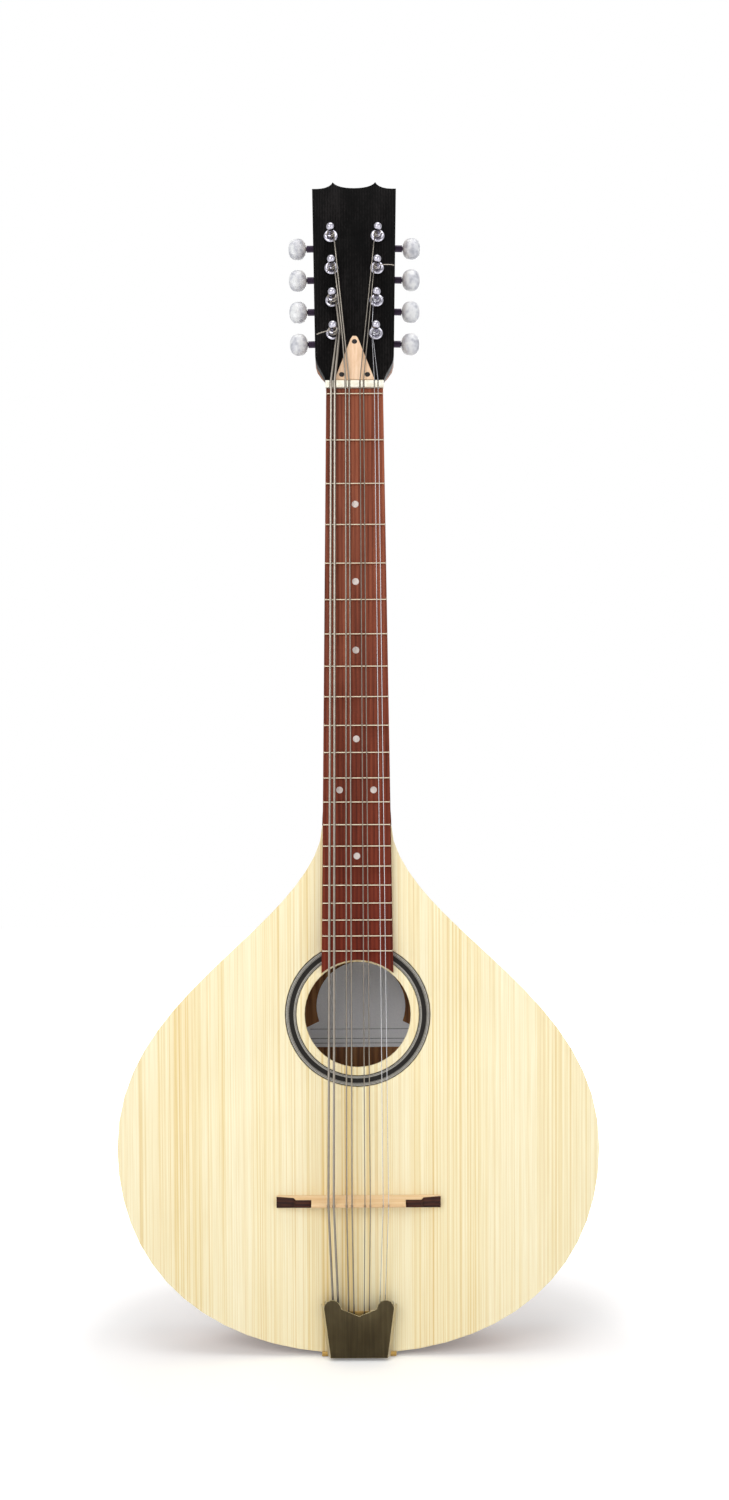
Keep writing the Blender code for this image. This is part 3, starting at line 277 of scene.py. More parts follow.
def grained(name, tones, spacing, along="Z", roughness=0.5, pores=0.0015, wild=2.0, specular=0.25):
    """A wood from its dark, middle and pale tones, with grain along one axis and open pores."""
    made, tree, shader, place = new_material(name, roughness=roughness, specular=specular)
    upright = along == "Z"
    fine = (1 / pores, 1 / pores, 22) if upright else (22, 1 / pores, 1 / pores)
    broad = (60, 60, 3) if upright else (3, 60, 60)
    coarse = {"Scale": 1.0, "Detail": 5.0, "Roughness": 0.6}
    figure = pattern(tree, NOISE, place, broad, coarse)
    streak = pattern(tree, NOISE, place, fine, {"Scale": 1.0, "Detail": 3.0})
    waves = {"Scale": BAND / spacing, "Distortion": wild, "Detail": 2.0, "Detail Scale": 0.06}
    stretch = (1.0, 1.0, 0.12) if upright else (0.12, 1.0, 1.0)
    across = "X" if upright else "Z"
    rings = pattern(tree, "ShaderNodeTexWave", place, stretch, waves, bands_direction=across)
    total = add_node(tree, "ShaderNodeMath", {0: figure, 1: 0.55}, operation="MULTIPLY")
    for part, share in ((streak, 0.35), (rings, 0.10)):
        terms = {0: part, 1: share, 2: total.outputs[0]}
        total = add_node(tree, "ShaderNodeMath", terms, operation="MULTIPLY_ADD")
    stops = tuple(zip((0.36, 0.50, 0.64), tones))
    ramp = add_node(tree, RAMP, {"Fac": total.outputs[0]}, stops=stops)
    tree.links.new(ramp.outputs[0], shader.inputs["Base Color"])
    height = add_node(tree, "ShaderNodeBump", {"Height": streak, "Strength": 0.15, "Distance": 0.0002})
    tree.links.new(height.outputs[0], shader.inputs["Normal"])
    return made


def redden(board):
    """Lets a board grow redder and darker towards the body, as less handled wood does."""
    tree = board.node_tree
    shader = tree.nodes["Principled BSDF"]
    grain = shader.inputs["Base Color"].links[0].from_socket
    place = add_node(tree, "ShaderNodeTexCoord").outputs["Object"]
    height = add_node(tree, "ShaderNodeSeparateXYZ", {0: place})
    limits = {"From Min": -0.44, "From Max": -0.12}
    share = add_node(tree, "ShaderNodeMapRange", {"Value": height.outputs[2], **limits})
    reds = ((0.0, "DDA8A0"), (1.0, "FFFFFF"))
    tint = add_node(tree, RAMP, {"Fac": share.outputs[0]}, stops=reds)
    tone = add_node(tree, "ShaderNodeMix", {0: 1.0, 6: grain, 7: tint.outputs[0]}, **TINTED)
    tree.links.new(tone.outputs[2], shader.inputs["Base Color"])


def stained_neck():
    """Mahogany, with the black of the head's veneer run over the front edge of the core."""
    wood = grained("mahogany, satin oil", ("5C3420", "84512F", "9C6A42"), 0.004, wild=3.0, specular=0.1)
    tree = wood.node_tree
    shader = tree.nodes["Principled BSDF"]
    grain = shader.inputs["Base Color"].links[0].from_socket
    place = add_node(tree, "ShaderNodeTexCoord").outputs["Object"]
    pivot = (0, 0, HEAD_PIVOT_Z)
    local = add_node(tree, "ShaderNodeVectorMath", {0: place, 1: pivot}, operation="SUBTRACT").outputs[0]
    normal = (0, -math.cos(HEAD_TILT), math.sin(HEAD_TILT))
    depth = add_node(tree, "ShaderNodeVectorMath", {0: local, 1: normal}, operation="DOT_PRODUCT")
    height = add_node(tree, "ShaderNodeSeparateXYZ", {0: place})
    near = {0: depth.outputs["Value"], 1: -STAIN_DEPTH}
    above = {0: height.outputs[2], 1: STAIN_START}
    tests = [
        add_node(tree, "ShaderNodeMath", test, operation="GREATER_THAN").outputs[0]
        for test in (near, above)
    ]
    both = add_node(tree, "ShaderNodeMath", dict(enumerate(tests)), operation="MULTIPLY")
    tone = add_node(tree, "ShaderNodeMix", {0: both.outputs[0], 6: grain, 7: linear("0C0B0C")}, **BLENDED)
    tree.links.new(tone.outputs[2], shader.inputs["Base Color"])
    return wood


def metal(name, colour, roughness, strength=0.25, metallic=1.0):
    """A metal with fine upright marks from its finishing, a little darker and duller than the rest."""
    made, tree, shader, place = new_material(name, roughness=roughness, metallic=metallic)
    marks = pattern(tree, NOISE, place, (400, 400, 40), {"Scale": 1.0, "Detail": 3.0})
    greys = ((0.3, "C8C8C8"), (0.7, "FFFFFF"))
    shade = add_node(tree, RAMP, {"Fac": marks}, stops=greys)
    tone = add_node(tree, "ShaderNodeMix", {0: strength, 6: linear(colour), 7: shade.outputs[0]}, **TINTED)
    tree.links.new(tone.outputs[2], shader.inputs["Base Color"])
    limits = {"To Min": roughness * 0.8, "To Max": roughness * 1.3}
    rough = add_node(tree, "ShaderNodeMapRange", {"Value": marks, **limits})
    tree.links.new(rough.outputs[0], shader.inputs["Roughness"])
    return made


def bronze(colours):
    """Cast bronze with a brushed dark patina: olive brown, paler where it was rubbed."""
    made, tree, shader, place = new_material("bronze, brushed patina", roughness=0.42, metallic=0.75)
    brushed = pattern(tree, NOISE, place, (700, 700, 20), {"Scale": 1.0, "Detail": 3.0})
    cloud = pattern(tree, NOISE, place, (45, 45, 30), {"Scale": 1.0, "Detail": 4.0})
    rub = add_node(tree, RAMP, {"Fac": cloud}, stops=((0.35, "B9B2A0"), (0.68, "FFFFFF")))
    line = add_node(tree, RAMP, {"Fac": brushed}, stops=((0.3, "B5AE9C"), (0.7, "FFFFFF")))
    clouded = add_node(tree, "ShaderNodeMix", {0: 0.8, 6: colours.bronze, 7: rub.outputs[0]}, **TINTED)
    tone = add_node(tree, "ShaderNodeMix", {0: 0.6, 6: clouded.outputs[2], 7: line.outputs[0]}, **TINTED)
    tree.links.new(tone.outputs[2], shader.inputs["Base Color"])
    height = add_node(tree, "ShaderNodeBump", {"Height": brushed, "Strength": 0.1, "Distance": 0.0001})
    tree.links.new(height.outputs[0], shader.inputs["Normal"])
    return made


def pearloid(name="cellulose pearloid, polished", tones=("9FA1A9", "BFC0C6", "D9DADB")):
    """Cellulose with pearl flakes: grey-white, with soft folded clouds under a gloss."""
    made, tree, shader, place = new_material(name, roughness=0.3, coat=0.2)
    swirl = pattern(tree, NOISE, place, (190, 190, 110), {"Scale": 1.0, "Detail": 3.0})
    shift = (0.01, 0.01, 0.01)
    shifted = add_node(tree, "ShaderNodeVectorMath", {0: place, 1: shift}, operation="ADD")
    cells = {"Vector": shifted.outputs[0], "Scale": 260.0, "Randomness": 1.0}
    flakes = add_node(tree, "ShaderNodeTexVoronoi", cells)
    terms = {0: flakes.outputs["Distance"], 1: 0.35, 2: swirl}
    share = add_node(tree, "ShaderNodeMath", terms, operation="MULTIPLY_ADD")
    stops = tuple(zip((0.4, 0.6, 0.8), tones))
    ramp = add_node(tree, RAMP, {"Fac": share.outputs[0]}, stops=stops)
    tree.links.new(ramp.outputs[0], shader.inputs["Base Color"])
    return made


def clouded(name, tones, scale, detail, limits, **surface):
    """A plain stuff in two close tones that pass into each other in soft clouds."""
    made, tree, shader, place = new_material(name, **surface)
    cloud = pattern(tree, NOISE, place, scale, {"Scale": 1.0, "Detail": detail})
    ramp = add_node(tree, RAMP, {"Fac": cloud}, stops=tuple(zip(limits, tones)))
    tree.links.new(ramp.outputs[0], shader.inputs["Base Color"])
    return made


def rosette_strips():
    """Dyed veneer strips in rings: grey, a wide dark band, grey, with fine lines between them."""
    made, tree, shader, place = new_material("dyed veneer rings", roughness=0.6, specular=0.1)
    centre = (0, 0, -HOLE_CENTRE_Z)
    centred = add_node(tree, "ShaderNodeMapping", {"Vector": place, "Location": centre}).outputs[0]
    flat = add_node(tree, "ShaderNodeVectorMath", {0: centred, 1: (1, 0, 1)}, operation="MULTIPLY")
    radius = add_node(tree, "ShaderNodeVectorMath", {0: flat.outputs[0]}, operation="LENGTH")
    limits = {"From Min": ROSETTE_INNER, "From Max": ROSETTE_OUTER}
    share = add_node(tree, "ShaderNodeMapRange", {"Value": radius.outputs["Value"], **limits})
    ramp = add_node(tree, RAMP, {"Fac": share.outputs[0]}, stops=ROSETTE_STRIPS)
    ramp.color_ramp.interpolation = "CONSTANT"
    fleck = pattern(tree, NOISE, place, (700, 700, 700), {"Scale": 1.0, "Detail": 2.0})
    tint = add_node(tree, RAMP, {"Fac": fleck}, stops=((0.3, "CFCBC2"), (0.7, "FFFFFF")))
    tone = add_node(tree, "ShaderNodeMix", {0: 0.6, 6: ramp.outputs[0], 7: tint.outputs[0]}, **TINTED)
    tree.links.new(tone.outputs[2], shader.inputs["Base Color"])
    return made


def wound_wire():
    """Bronze wrap on a steel core, with painted shade in the grooves between turns. The ribs are drawn three times
    as coarse as the real wrap.
    """
    made, tree, shader, place = new_material("phosphor bronze wrap", roughness=0.34, metallic=0.85)
    waves = {"Scale": BAND / 0.0009, "Distortion": 0.0, "Detail": 2.0, "Detail Scale": 0.06}
    stretch = (0.12, 1.0, 1.0)
    ribs = pattern(tree, "ShaderNodeTexWave", place, stretch, waves, bands_direction="Z")
    # Painted shade: the low part of each rib, the groove between turns, is coloured darker.
    ramp = add_node(tree, RAMP, {"Fac": ribs}, stops=((0.2, "5E5850"), (0.8, "A39C92")))
    tree.links.new(ramp.outputs[0], shader.inputs["Base Color"])
    height = add_node(tree, "ShaderNodeBump", {"Height": ribs, "Strength": 0.3, "Distance": 0.0001})
    tree.links.new(height.outputs[0], shader.inputs["Normal"])
    return made


def lay(name, mesh, finish, body, smooth=True, angle=35):
    """Puts a finished mesh in the scene, riding on a body."""
    mesh.materials.clear()
    mesh.materials.append(finish)
    if smooth:
        mesh.shade_smooth()
        mesh.set_sharp_from_angle(angle=math.radians(angle))
    obj = bpy.data.objects.new(name, mesh)
    bpy.context.scene.collection.objects.link(obj)
    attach(obj, body)
    return obj


def evaluated(data, prepare=None):
    """The plain mesh of a curve, or of a mesh with modifiers."""
    scratch = bpy.data.objects.new("scratch", data)
    bpy.context.scene.collection.objects.link(scratch)
    if prepare:
        prepare(scratch)
    graph = bpy.context.evaluated_depsgraph_get()
    mesh = bpy.data.meshes.new_from_object(scratch.evaluated_get(graph))
    bpy.data.objects.remove(scratch)
    return mesh


def sheet(corners, thickness):
    """A flat sheet from its outline, half its thickness on each side."""
    mesh = bpy.data.meshes.new("sheet")
    mesh.from_pydata(corners, [], [tuple(range(len(corners)))])

    def thicken(scratch):
        wall = scratch.modifiers.new("wall", "SOLIDIFY")
        wall.thickness = thickness
        wall.offset = 0

    return evaluated(mesh, thicken)


def dressed(node, finish, edge=0.0, angle=35, edge_finish=None):
    """A merged copy of a solid, its edges softened and maybe of another finish, which stands for it."""
    mesh = frame["nodes"][node].data.copy()
    bm = bmesh.new()
    bm.from_mesh(mesh)
    bmesh.ops.remove_doubles(bm, verts=bm.verts, dist=1e-6)
    bmesh.ops.dissolve_limit(bm, angle_limit=math.radians(0.6), verts=bm.verts, edges=bm.edges)
    bm.to_mesh(mesh)
    bm.free()

    def soften(scratch):
        bevel = scratch.modifiers.new("edge", "BEVEL")
        bevel.width = edge
        bevel.segments = 2
        bevel.limit_method = "ANGLE"
        bevel.angle_limit = math.radians(50)
        if edge_finish:
            bevel.material = 1

    if edge_finish:
        mesh.materials.clear()
        mesh.materials.append(finish)
        mesh.materials.append(edge_finish)
    if edge:
        mesh = evaluated(mesh, soften)
    numbers = [face.material_index for face in mesh.polygons]
    obj = lay(node + "_finished", mesh, finish, BODY_OF[node], angle=angle)
    if edge_finish:
        mesh.materials.append(edge_finish)
        mesh.polygons.foreach_set("material_index", numbers)
    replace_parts(obj, node)
    return obj


def geometry_tree(name, inputs):
    """A node tree for a modifier, with its group input, its output and its named sizes."""
    tree = bpy.data.node_groups.new(name, "GeometryNodeTree")
    tree.interface.new_socket("Geometry", in_out="INPUT", socket_type="NodeSocketGeometry")
    for label, (kind, value) in inputs.items():
        socket = tree.interface.new_socket(label, in_out="INPUT", socket_type=kind)
        if value is not None:
            socket.default_value = value
    tree.interface.new_socket("Geometry", in_out="OUTPUT", socket_type="NodeSocketGeometry")
    start = add_node(tree, "NodeGroupInput")
    end = add_node(tree, "NodeGroupOutput")
    return tree, start, end


def grown(tree, values, finish, points=()):
    """The plain mesh that a tree makes from points, with its inputs set by identifier."""
    mesh = bpy.data.meshes.new("points")
    mesh.from_pydata([tuple(point) for point in points] or [(0, 0, 0)], [], [])

    def add_nodes(scratch):
        modifier = scratch.modifiers.new("grow", "NODES")
        modifier.node_group = tree
        for item in tree.interface.items_tree:
            if item.in_out == "INPUT" and item.name in values:
                modifier[item.identifier] = values[item.name]
            if item.in_out == "INPUT" and item.name == "Finish":
                modifier[item.identifier] = finish

    return evaluated(mesh, add_nodes)


def finish_tree(tree, start, end, geometry):
    """Ends a tree in Realize Instances and Set Material."""
    real = add_node(tree, "GeometryNodeRealizeInstances", {0: geometry})
    material = add_node(
        tree, "GeometryNodeSetMaterial", {0: real.outputs[0], "Material": start.outputs["Finish"]}
    )
    tree.links.new(material.outputs[0], end.inputs[0])


def fret_tree():
    """Crowns at the places of equal steps: a rounded bar on each point, as wide as the board there."""
    tree, start, end = geometry_tree(
        "frets",
        {
            "Count": ("NodeSocketInt", 21),
            "Scale Length": ("NodeSocketFloat", 0.65),
            "Half Width": ("NodeSocketFloat", BOARD_HALF_TOP),
            "Taper": ("NodeSocketFloat", BOARD_TAPER),
            "Crown Width": ("NodeSocketFloat", 0.0024),
            "Crown Height": ("NodeSocketFloat", 0.0011),
            "Face": ("NodeSocketFloat", BOARD_FACE),
            "Finish": ("NodeSocketMaterial", None),
        },
    )
    line = add_node(tree, "GeometryNodeMeshLine", {"Count": start.outputs["Count"], "Offset": (0, 0, 0)})
    index = add_node(tree, "GeometryNodeInputIndex")
    step = add_node(tree, "ShaderNodeMath", {0: index.outputs[0], 1: -1 / 12}, operation="MULTIPLY")
    power = add_node(tree, "ShaderNodeMath", {0: 2.0, 1: step.outputs[0]}, operation="POWER")
    share = add_node(tree, "ShaderNodeMath", {0: power.outputs[0], 1: 1.0}, operation="SUBTRACT")
    down = add_node(
        tree, "ShaderNodeMath", {0: share.outputs[0], 1: start.outputs["Scale Length"]}, operation="MULTIPLY"
    )
    place = add_node(tree, "ShaderNodeCombineXYZ", {1: start.outputs["Face"], 2: down.outputs[0]})
    points = add_node(tree, "GeometryNodeSetPosition", {0: line.outputs[0], "Position": place.outputs[0]})
    bar = add_node(tree, "GeometryNodeMeshCylinder", {"Vertices": 24, "Radius": 1.0, "Depth": 2.0})
    laid = add_node(tree, "GeometryNodeTransform", {0: bar.outputs[0], "Rotation": (0, math.pi / 2, 0)})
    wider = add_node(
        tree, "ShaderNodeMath", {0: down.outputs[0], 1: start.outputs["Taper"]}, operation="MULTIPLY"
    )
    half = add_node(
        tree, "ShaderNodeMath", {0: start.outputs["Half Width"], 1: wider.outputs[0]}, operation="SUBTRACT"
    )
    half_width = add_node(
        tree, "ShaderNodeMath", {0: start.outputs["Crown Width"], 1: 0.5}, operation="MULTIPLY"
    )
    size = add_node(
        tree,
        "ShaderNodeCombineXYZ",
        {0: half.outputs[0], 1: start.outputs["Crown Height"], 2: half_width.outputs[0]},
    )
    bars = add_node(
        tree,
        "GeometryNodeInstanceOnPoints",
        {0: points.outputs[0], "Instance": laid.outputs[0], "Scale": size.outputs[0]},
    )
    finish_tree(tree, start, end, bars.outputs[0])
    return tree


def disc_tree():
    """A low disc on each point, facing -Y."""
    tree, start, end = geometry_tree(
        "discs",
        {
            "Radius": ("NodeSocketFloat", 0.0027),
            "Height": ("NodeSocketFloat", 0.0003),
            "Finish": ("NodeSocketMaterial", None),
        },
    )
    disc = add_node(
        tree,
        "GeometryNodeMeshCylinder",
        {"Vertices": 32, "Radius": start.outputs["Radius"], "Depth": start.outputs["Height"]},
    )
    turn = {0: disc.outputs[0], "Rotation": (math.pi / 2, 0, 0)}
    facing = add_node(tree, "GeometryNodeTransform", turn)
    discs = add_node(
        tree, "GeometryNodeInstanceOnPoints", {0: start.outputs[0], "Instance": facing.outputs[0]}
    )
    finish_tree(tree, start, end, discs.outputs[0])
    return tree


def screw_tree():
    """A domed head with a cut slot on each point, facing -Y."""
    tree, start, end = geometry_tree(
        "screws",
        {
            "Radius": ("NodeSocketFloat", 0.0020),
            "Slot Width": ("NodeSocketFloat", 0.0005),
            "Finish": ("NodeSocketMaterial", None),
        },
    )
    radius = start.outputs["Radius"]
    ball = add_node(tree, "GeometryNodeMeshUVSphere", {"Segments": 24, "Rings": 12, "Radius": radius})
    dome = add_node(tree, "GeometryNodeTransform", {0: ball.outputs[0], "Scale": (1, 1, 0.45)})
    long = add_node(tree, "ShaderNodeMath", {0: radius, 1: 3.0}, operation="MULTIPLY")
    size = add_node(
        tree, "ShaderNodeCombineXYZ", {0: long.outputs[0], 1: start.outputs["Slot Width"], 2: radius}
    )
    slot = add_node(tree, "GeometryNodeMeshCube", {"Size": size.outputs[0]})
    lift = add_node(tree, "ShaderNodeMath", {0: radius, 1: 0.72}, operation="MULTIPLY")
    above = add_node(tree, "ShaderNodeCombineXYZ", {2: lift.outputs[0]})
    raised = add_node(
        tree, "GeometryNodeTransform", {0: slot.outputs[0], "Translation": above.outputs[0]}
    )
    head = add_node(
        tree,
        "GeometryNodeMeshBoolean",
        {0: dome.outputs[0], 1: raised.outputs[0]},
        operation="DIFFERENCE",
        solver="EXACT",
    )
    turn = {0: head.outputs[0], "Rotation": (math.pi / 2, 0.6, 0)}
    facing = add_node(tree, "GeometryNodeTransform", turn)
    screws = add_node(
        tree, "GeometryNodeInstanceOnPoints", {0: start.outputs[0], "Instance": facing.outputs[0]}
    )
    finish_tree(tree, start, end, screws.outputs[0])
    return tree


def winding_tree():
    """A wire wound up Z: a spiral of equal radius with a round section."""
    tree, start, end = geometry_tree(
        "windings",
        {
            "Turns": ("NodeSocketFloat", 2.25),
            "Radius": ("NodeSocketFloat", 0.0026),
            "Rise": ("NodeSocketFloat", 0.003),
            "Wire Radius": ("NodeSocketFloat", 0.0005),
            "Finish": ("NodeSocketMaterial", None),
        },
    )
    spiral = add_node(
        tree,
        "GeometryNodeCurveSpiral",
        {
            "Resolution": 40,
            "Rotations": start.outputs["Turns"],
            "Start Radius": start.outputs["Radius"],
            "End Radius": start.outputs["Radius"],
            "Height": start.outputs["Rise"],
        },
    )
    section = add_node(
        tree,
        "GeometryNodeCurvePrimitiveCircle",
        {"Resolution": 12, "Radius": start.outputs["Wire Radius"]},
    )
    wire = add_node(
        tree,
        "GeometryNodeCurveToMesh",
        {"Curve": spiral.outputs[0], "Profile Curve": section.outputs[0], "Fill Caps": True},
    )
    finish_tree(tree, start, end, wire.outputs[0])
    return tree


def turned(profile, sides=48):
    """A turned solid about Y from (radius, y), front to back."""
    mesh = bpy.data.meshes.new("profile")
    points = [(radius, 0, -y) for radius, y in profile]
    mesh.from_pydata(points, [(i, i + 1) for i in range(len(points) - 1)], [])

    def add_screw(scratch):
        screw = scratch.modifiers.new("turn", "SCREW")
        screw.steps = sides
        screw.render_steps = sides
        screw.use_merge_vertices = True
        screw.merge_threshold = 1e-6

    made = evaluated(mesh, add_screw)
    made.transform(FACING)
    bm = bmesh.new()
    bm.from_mesh(made)
    bmesh.ops.remove_doubles(bm, verts=bm.verts, dist=1e-7)
    bmesh.ops.recalc_face_normals(bm, faces=bm.faces)
    bm.to_mesh(made)
    bm.free()
    return made


def wire(points, radius, resolution=3):
    """A round wire through points."""
    curve = bpy.data.curves.new("wire", "CURVE")
    curve.dimensions = "3D"
    curve.bevel_depth = radius
    curve.bevel_resolution = resolution
    curve.use_fill_caps = True
    spline = curve.splines.new("POLY")
    spline.points.add(len(points) - 1)
    for point, place in zip(spline.points, points):
        point.co = (*place, 1)
    return evaluated(curve)


def tuner_matrix(joint, label, number):
    """The frame of a tuner's post or key: at its joint, -Y to the front, +Z up its row."""
    place = JOINTS[f"{joint}_turn_{label}_{number}"]["pos_m"]
    turn = Matrix.Rotation(-HEAD_TILT, 4, "X") @ Matrix.Rotation(SIDES[label] * ROW_SPLAY, 4, "Y")
    return Matrix.Translation(place) @ turn


class MANDOCELLO_OT_body(bpy.types.Operator):
    """Finishes the soundboard, back, sides and inner frames"""

    bl_idname = "mandocello.body"
    bl_label = "Body"

    def execute(self, context):
        sizes = context.scene.mandocello_sizes
        colours = context.scene.mandocello_colours
        back = grained("walnut, satin oil", ("5E3B20", "8A5C35", "A97A4C"), 0.006, wild=5.0)
        lining = grained("willow, raw", ("B08D5C", "C9A978", "DBBF92"), 0.003, roughness=0.7)
        dressed("soundboard", spruce(sizes, colours), sizes.edge)
        dressed("back", back, sizes.edge)
        dressed("sides", back)
        for node in ("top_frame", "back_frame", "tail_block"):
            dressed(node, lining)
        return {"FINISHED"}


class MANDOCELLO_OT_rosette(bpy.types.Operator):
    """Finishes the rosette and lays the bare label inside the back"""

    bl_idname = "mandocello.rosette"
    bl_label = "Rosette and label"

    def execute(self, context):
        dressed("rosette", rosette_strips())
        outline = [(-LABEL_FOOT, LABEL_BOTTOM), (LABEL_FOOT, LABEL_BOTTOM), (LABEL_FOOT, LABEL_STEP)]
        for step in range(33):
            angle = math.radians(-20 + step * 220 / 32)
            outline.append((LABEL_ARCH * math.cos(angle), LABEL_ARCH_Z + LABEL_ARCH * math.sin(angle)))
        outline.append((-LABEL_FOOT, LABEL_STEP))
        points = [(LABEL_X + x, BACK_INSIDE_Y - 0.0004, z) for x, z in outline]
        # Off-white and matt, with fibres too fine to see one by one.
        whites = ("F0F0F4", "FAFAFC")
        surface = {"roughness": 0.8, "specular": 0.2}
        paper = clouded("uncoated paper", whites, (900, 900, 900), 3.0, (0.3, 0.7), **surface)
        lay("paper_label", sheet(points, 0.0002), paper, "root")
        rule_y = BACK_INSIDE_Y - 0.00055
        # A dark grey that is a little uneven, as print on rough paper is.
        greys = ("55565A", "6A6B6F")
        ink = clouded("printing ink, grey", greys, (1200, 1200, 1200), 1.0, (0.3, 0.7), roughness=0.7)
        left, right = (LABEL_X + side * (LABEL_FOOT - LABEL_MARGIN) for side in (-1, 1))
        for number, height in enumerate(LABEL_RULES):
            line = wire([(left, rule_y, height), (right, rule_y, height)], RULE_RADIUS, 1)
            lay(f"label_rule_{number + 1}", line, ink, "root")
        return {"FINISHED"}


class MANDOCELLO_OT_neck(bpy.types.Operator):
    """Finishes the neck, head, truss rod and its cover"""

    bl_idname = "mandocello.neck"
    bl_label = "Neck and head"

    def execute(self, context):
        blacks = ("040404", "0A0909", "1A1818")
        surface = {"roughness": 0.7, "pores": 0.0008, "specular": 0.03}
        veneer = grained("pear veneer, dyed black", blacks, 0.0022, **surface)
        maple = grained("maple, planed", ("D3AE8B", "DEBC9B", "E6C9AC"), 0.003)
        steel = metal("steel, plain drawn", "8C8F92", 0.35)
        dressed("neck", stained_neck())
        dressed("headplate", veneer, 0.0002)
        dressed("truss_rod", steel)
        dressed("truss_rod_cover", maple, 0.0002)
        dark = metal("screw steel, black oxide", "2C2A2A", 0.45, metallic=0.8)
        screws = grown(screw_tree(), {"Radius": 0.0023, "Slot Width": 0.0006}, dark, COVER_SCREWS)
        screws.transform(HEAD @ Matrix.Translation((0, HEAD_FACE - CLEAR - COVER_THICKNESS, 0)))
        lay("cover_screws", screws, dark, "root")
        return {"FINISHED"}


class MANDOCELLO_OT_fretboard(bpy.types.Operator):
    """Finishes the fretboard and nut, and sets the frets and dots"""

    bl_idname = "mandocello.fretboard"
    bl_label = "Fretboard"

    def execute(self, context):
        sizes = context.scene.mandocello_sizes
        reds = ("532A1D", "7A3F2C", "96563D")
        surface = {"roughness": 0.6, "pores": 0.0007, "wild": 2.5, "specular": 0.12}
        board = grained("rosewood, oiled", reds, 0.0035, **surface)
        redden(board)
        dressed("fretboard", board)
        # Cream, yellower in clouds, under a polish.
        creams = ("DDD6BF", "EDE9DC")
        surface = {"roughness": 0.3, "coat": 0.2}
        bone = clouded("bone, polished", creams, (140, 300, 300), 3.0, (0.35, 0.65), **surface)
        dressed("nut", bone, 0.0003)
        silver = metal("nickel silver, polished", "CFC6AE", 0.25)
        values = {
            "Count": sizes.fret_count + 1,
            "Scale Length": sizes.scale_length,
            "Half Width": BOARD_HALF_TOP,
            "Crown Width": sizes.fret_width,
            "Crown Height": FRET_HEIGHT + 0.00005,
        }
        lay("frets", grown(fret_tree(), values, silver), silver, "root", angle=50)
        dots = []
        for fret, across in DOTS:
            places = [-sizes.scale_length * (1 - 2 ** (-number / 12)) for number in (fret - 1, fret)]
            dots.append((across, BOARD_FACE, sum(places) / 2))
        pearl = pearloid("mother of pearl", ("A79C96", "C2B5AE", "D4C9C2"))
        values = {"Radius": sizes.dot_radius, "Height": 0.0002}
        lay("position_dots", grown(disc_tree(), values, pearl, dots), pearl, "root")
        return {"FINISHED"}


class MANDOCELLO_OT_bridge(bpy.types.Operator):
    """Finishes the bridge and its caps"""

    bl_idname = "mandocello.bridge"
    bl_label = "Bridge"

    def execute(self, context):
        maple = grained("maple, oiled", ("C9A377", "DBB98D", "E6CBA5"), 0.003, along="X")
        browns = ("1A0B08", "2B1510", "452519")
        rosewood = grained("rosewood, dark", browns, 0.003, along="X", specular=0.15)
        dressed("bridge", maple, 0.0003)
        for label in SIDES:
            dressed("bridge_cap_" + label, rosewood, 0.0003)
        return {"FINISHED"}


class MANDOCELLO_OT_tailpiece(bpy.types.Operator):
    """Finishes the tailpiece and its cover, and sets the screws"""

    bl_idname = "mandocello.tailpiece"
    bl_label = "Tailpiece"

    def execute(self, context):
        dark = bronze(context.scene.mandocello_colours)
        brass = metal("brass, worn bright", "B8975A", 0.32)
        dressed("tailpiece", brass, 0.0002)
        # The edge faces are a paler brass: partly rubbed bare brass, partly a painted highlight for the bright rim
        # along the cover's edges.
        bare = metal("brass, rubbed edge and painted highlight", "D8C89A", 0.3)
        dressed("tailpiece_cover", dark, 0.00044, edge_finish=bare)
        self.add_flanges(metal("brass, rolled flange", "C9BFA6", 0.35))
        screws = grown(screw_tree(), {"Radius": 0.0024, "Slot Width": 0.0006}, brass, APRON_SCREWS)
        screws.transform(Matrix.Translation(APRON_PLACE) @ FACING)
        lay("apron_screws", screws, brass, "root")
        return {"FINISHED"}

    def add_flanges(self, finish):
        """Thin strips that turn outward along the cover's sides and catch the light."""
        for label, side in SIDES.items():
            corners = [
                (side * TAIL_TOP_HALF, TAIL_FRONT, TAIL_TOP_Z),
                (side * (TAIL_TOP_HALF + FLANGE_REACH), TAIL_FRONT + FLANGE_DROP, TAIL_TOP_Z),
                (side * (TAIL_END_HALF + FLANGE_REACH), TAIL_FRONT + FLANGE_DROP, TAIL_END_Z),
                (side * TAIL_END_HALF, TAIL_FRONT, TAIL_END_Z),
            ]
            strip = sheet(corners[::side], 0.0004)
            lay("cover_flange_" + label, strip, finish, "cover_body", smooth=False)


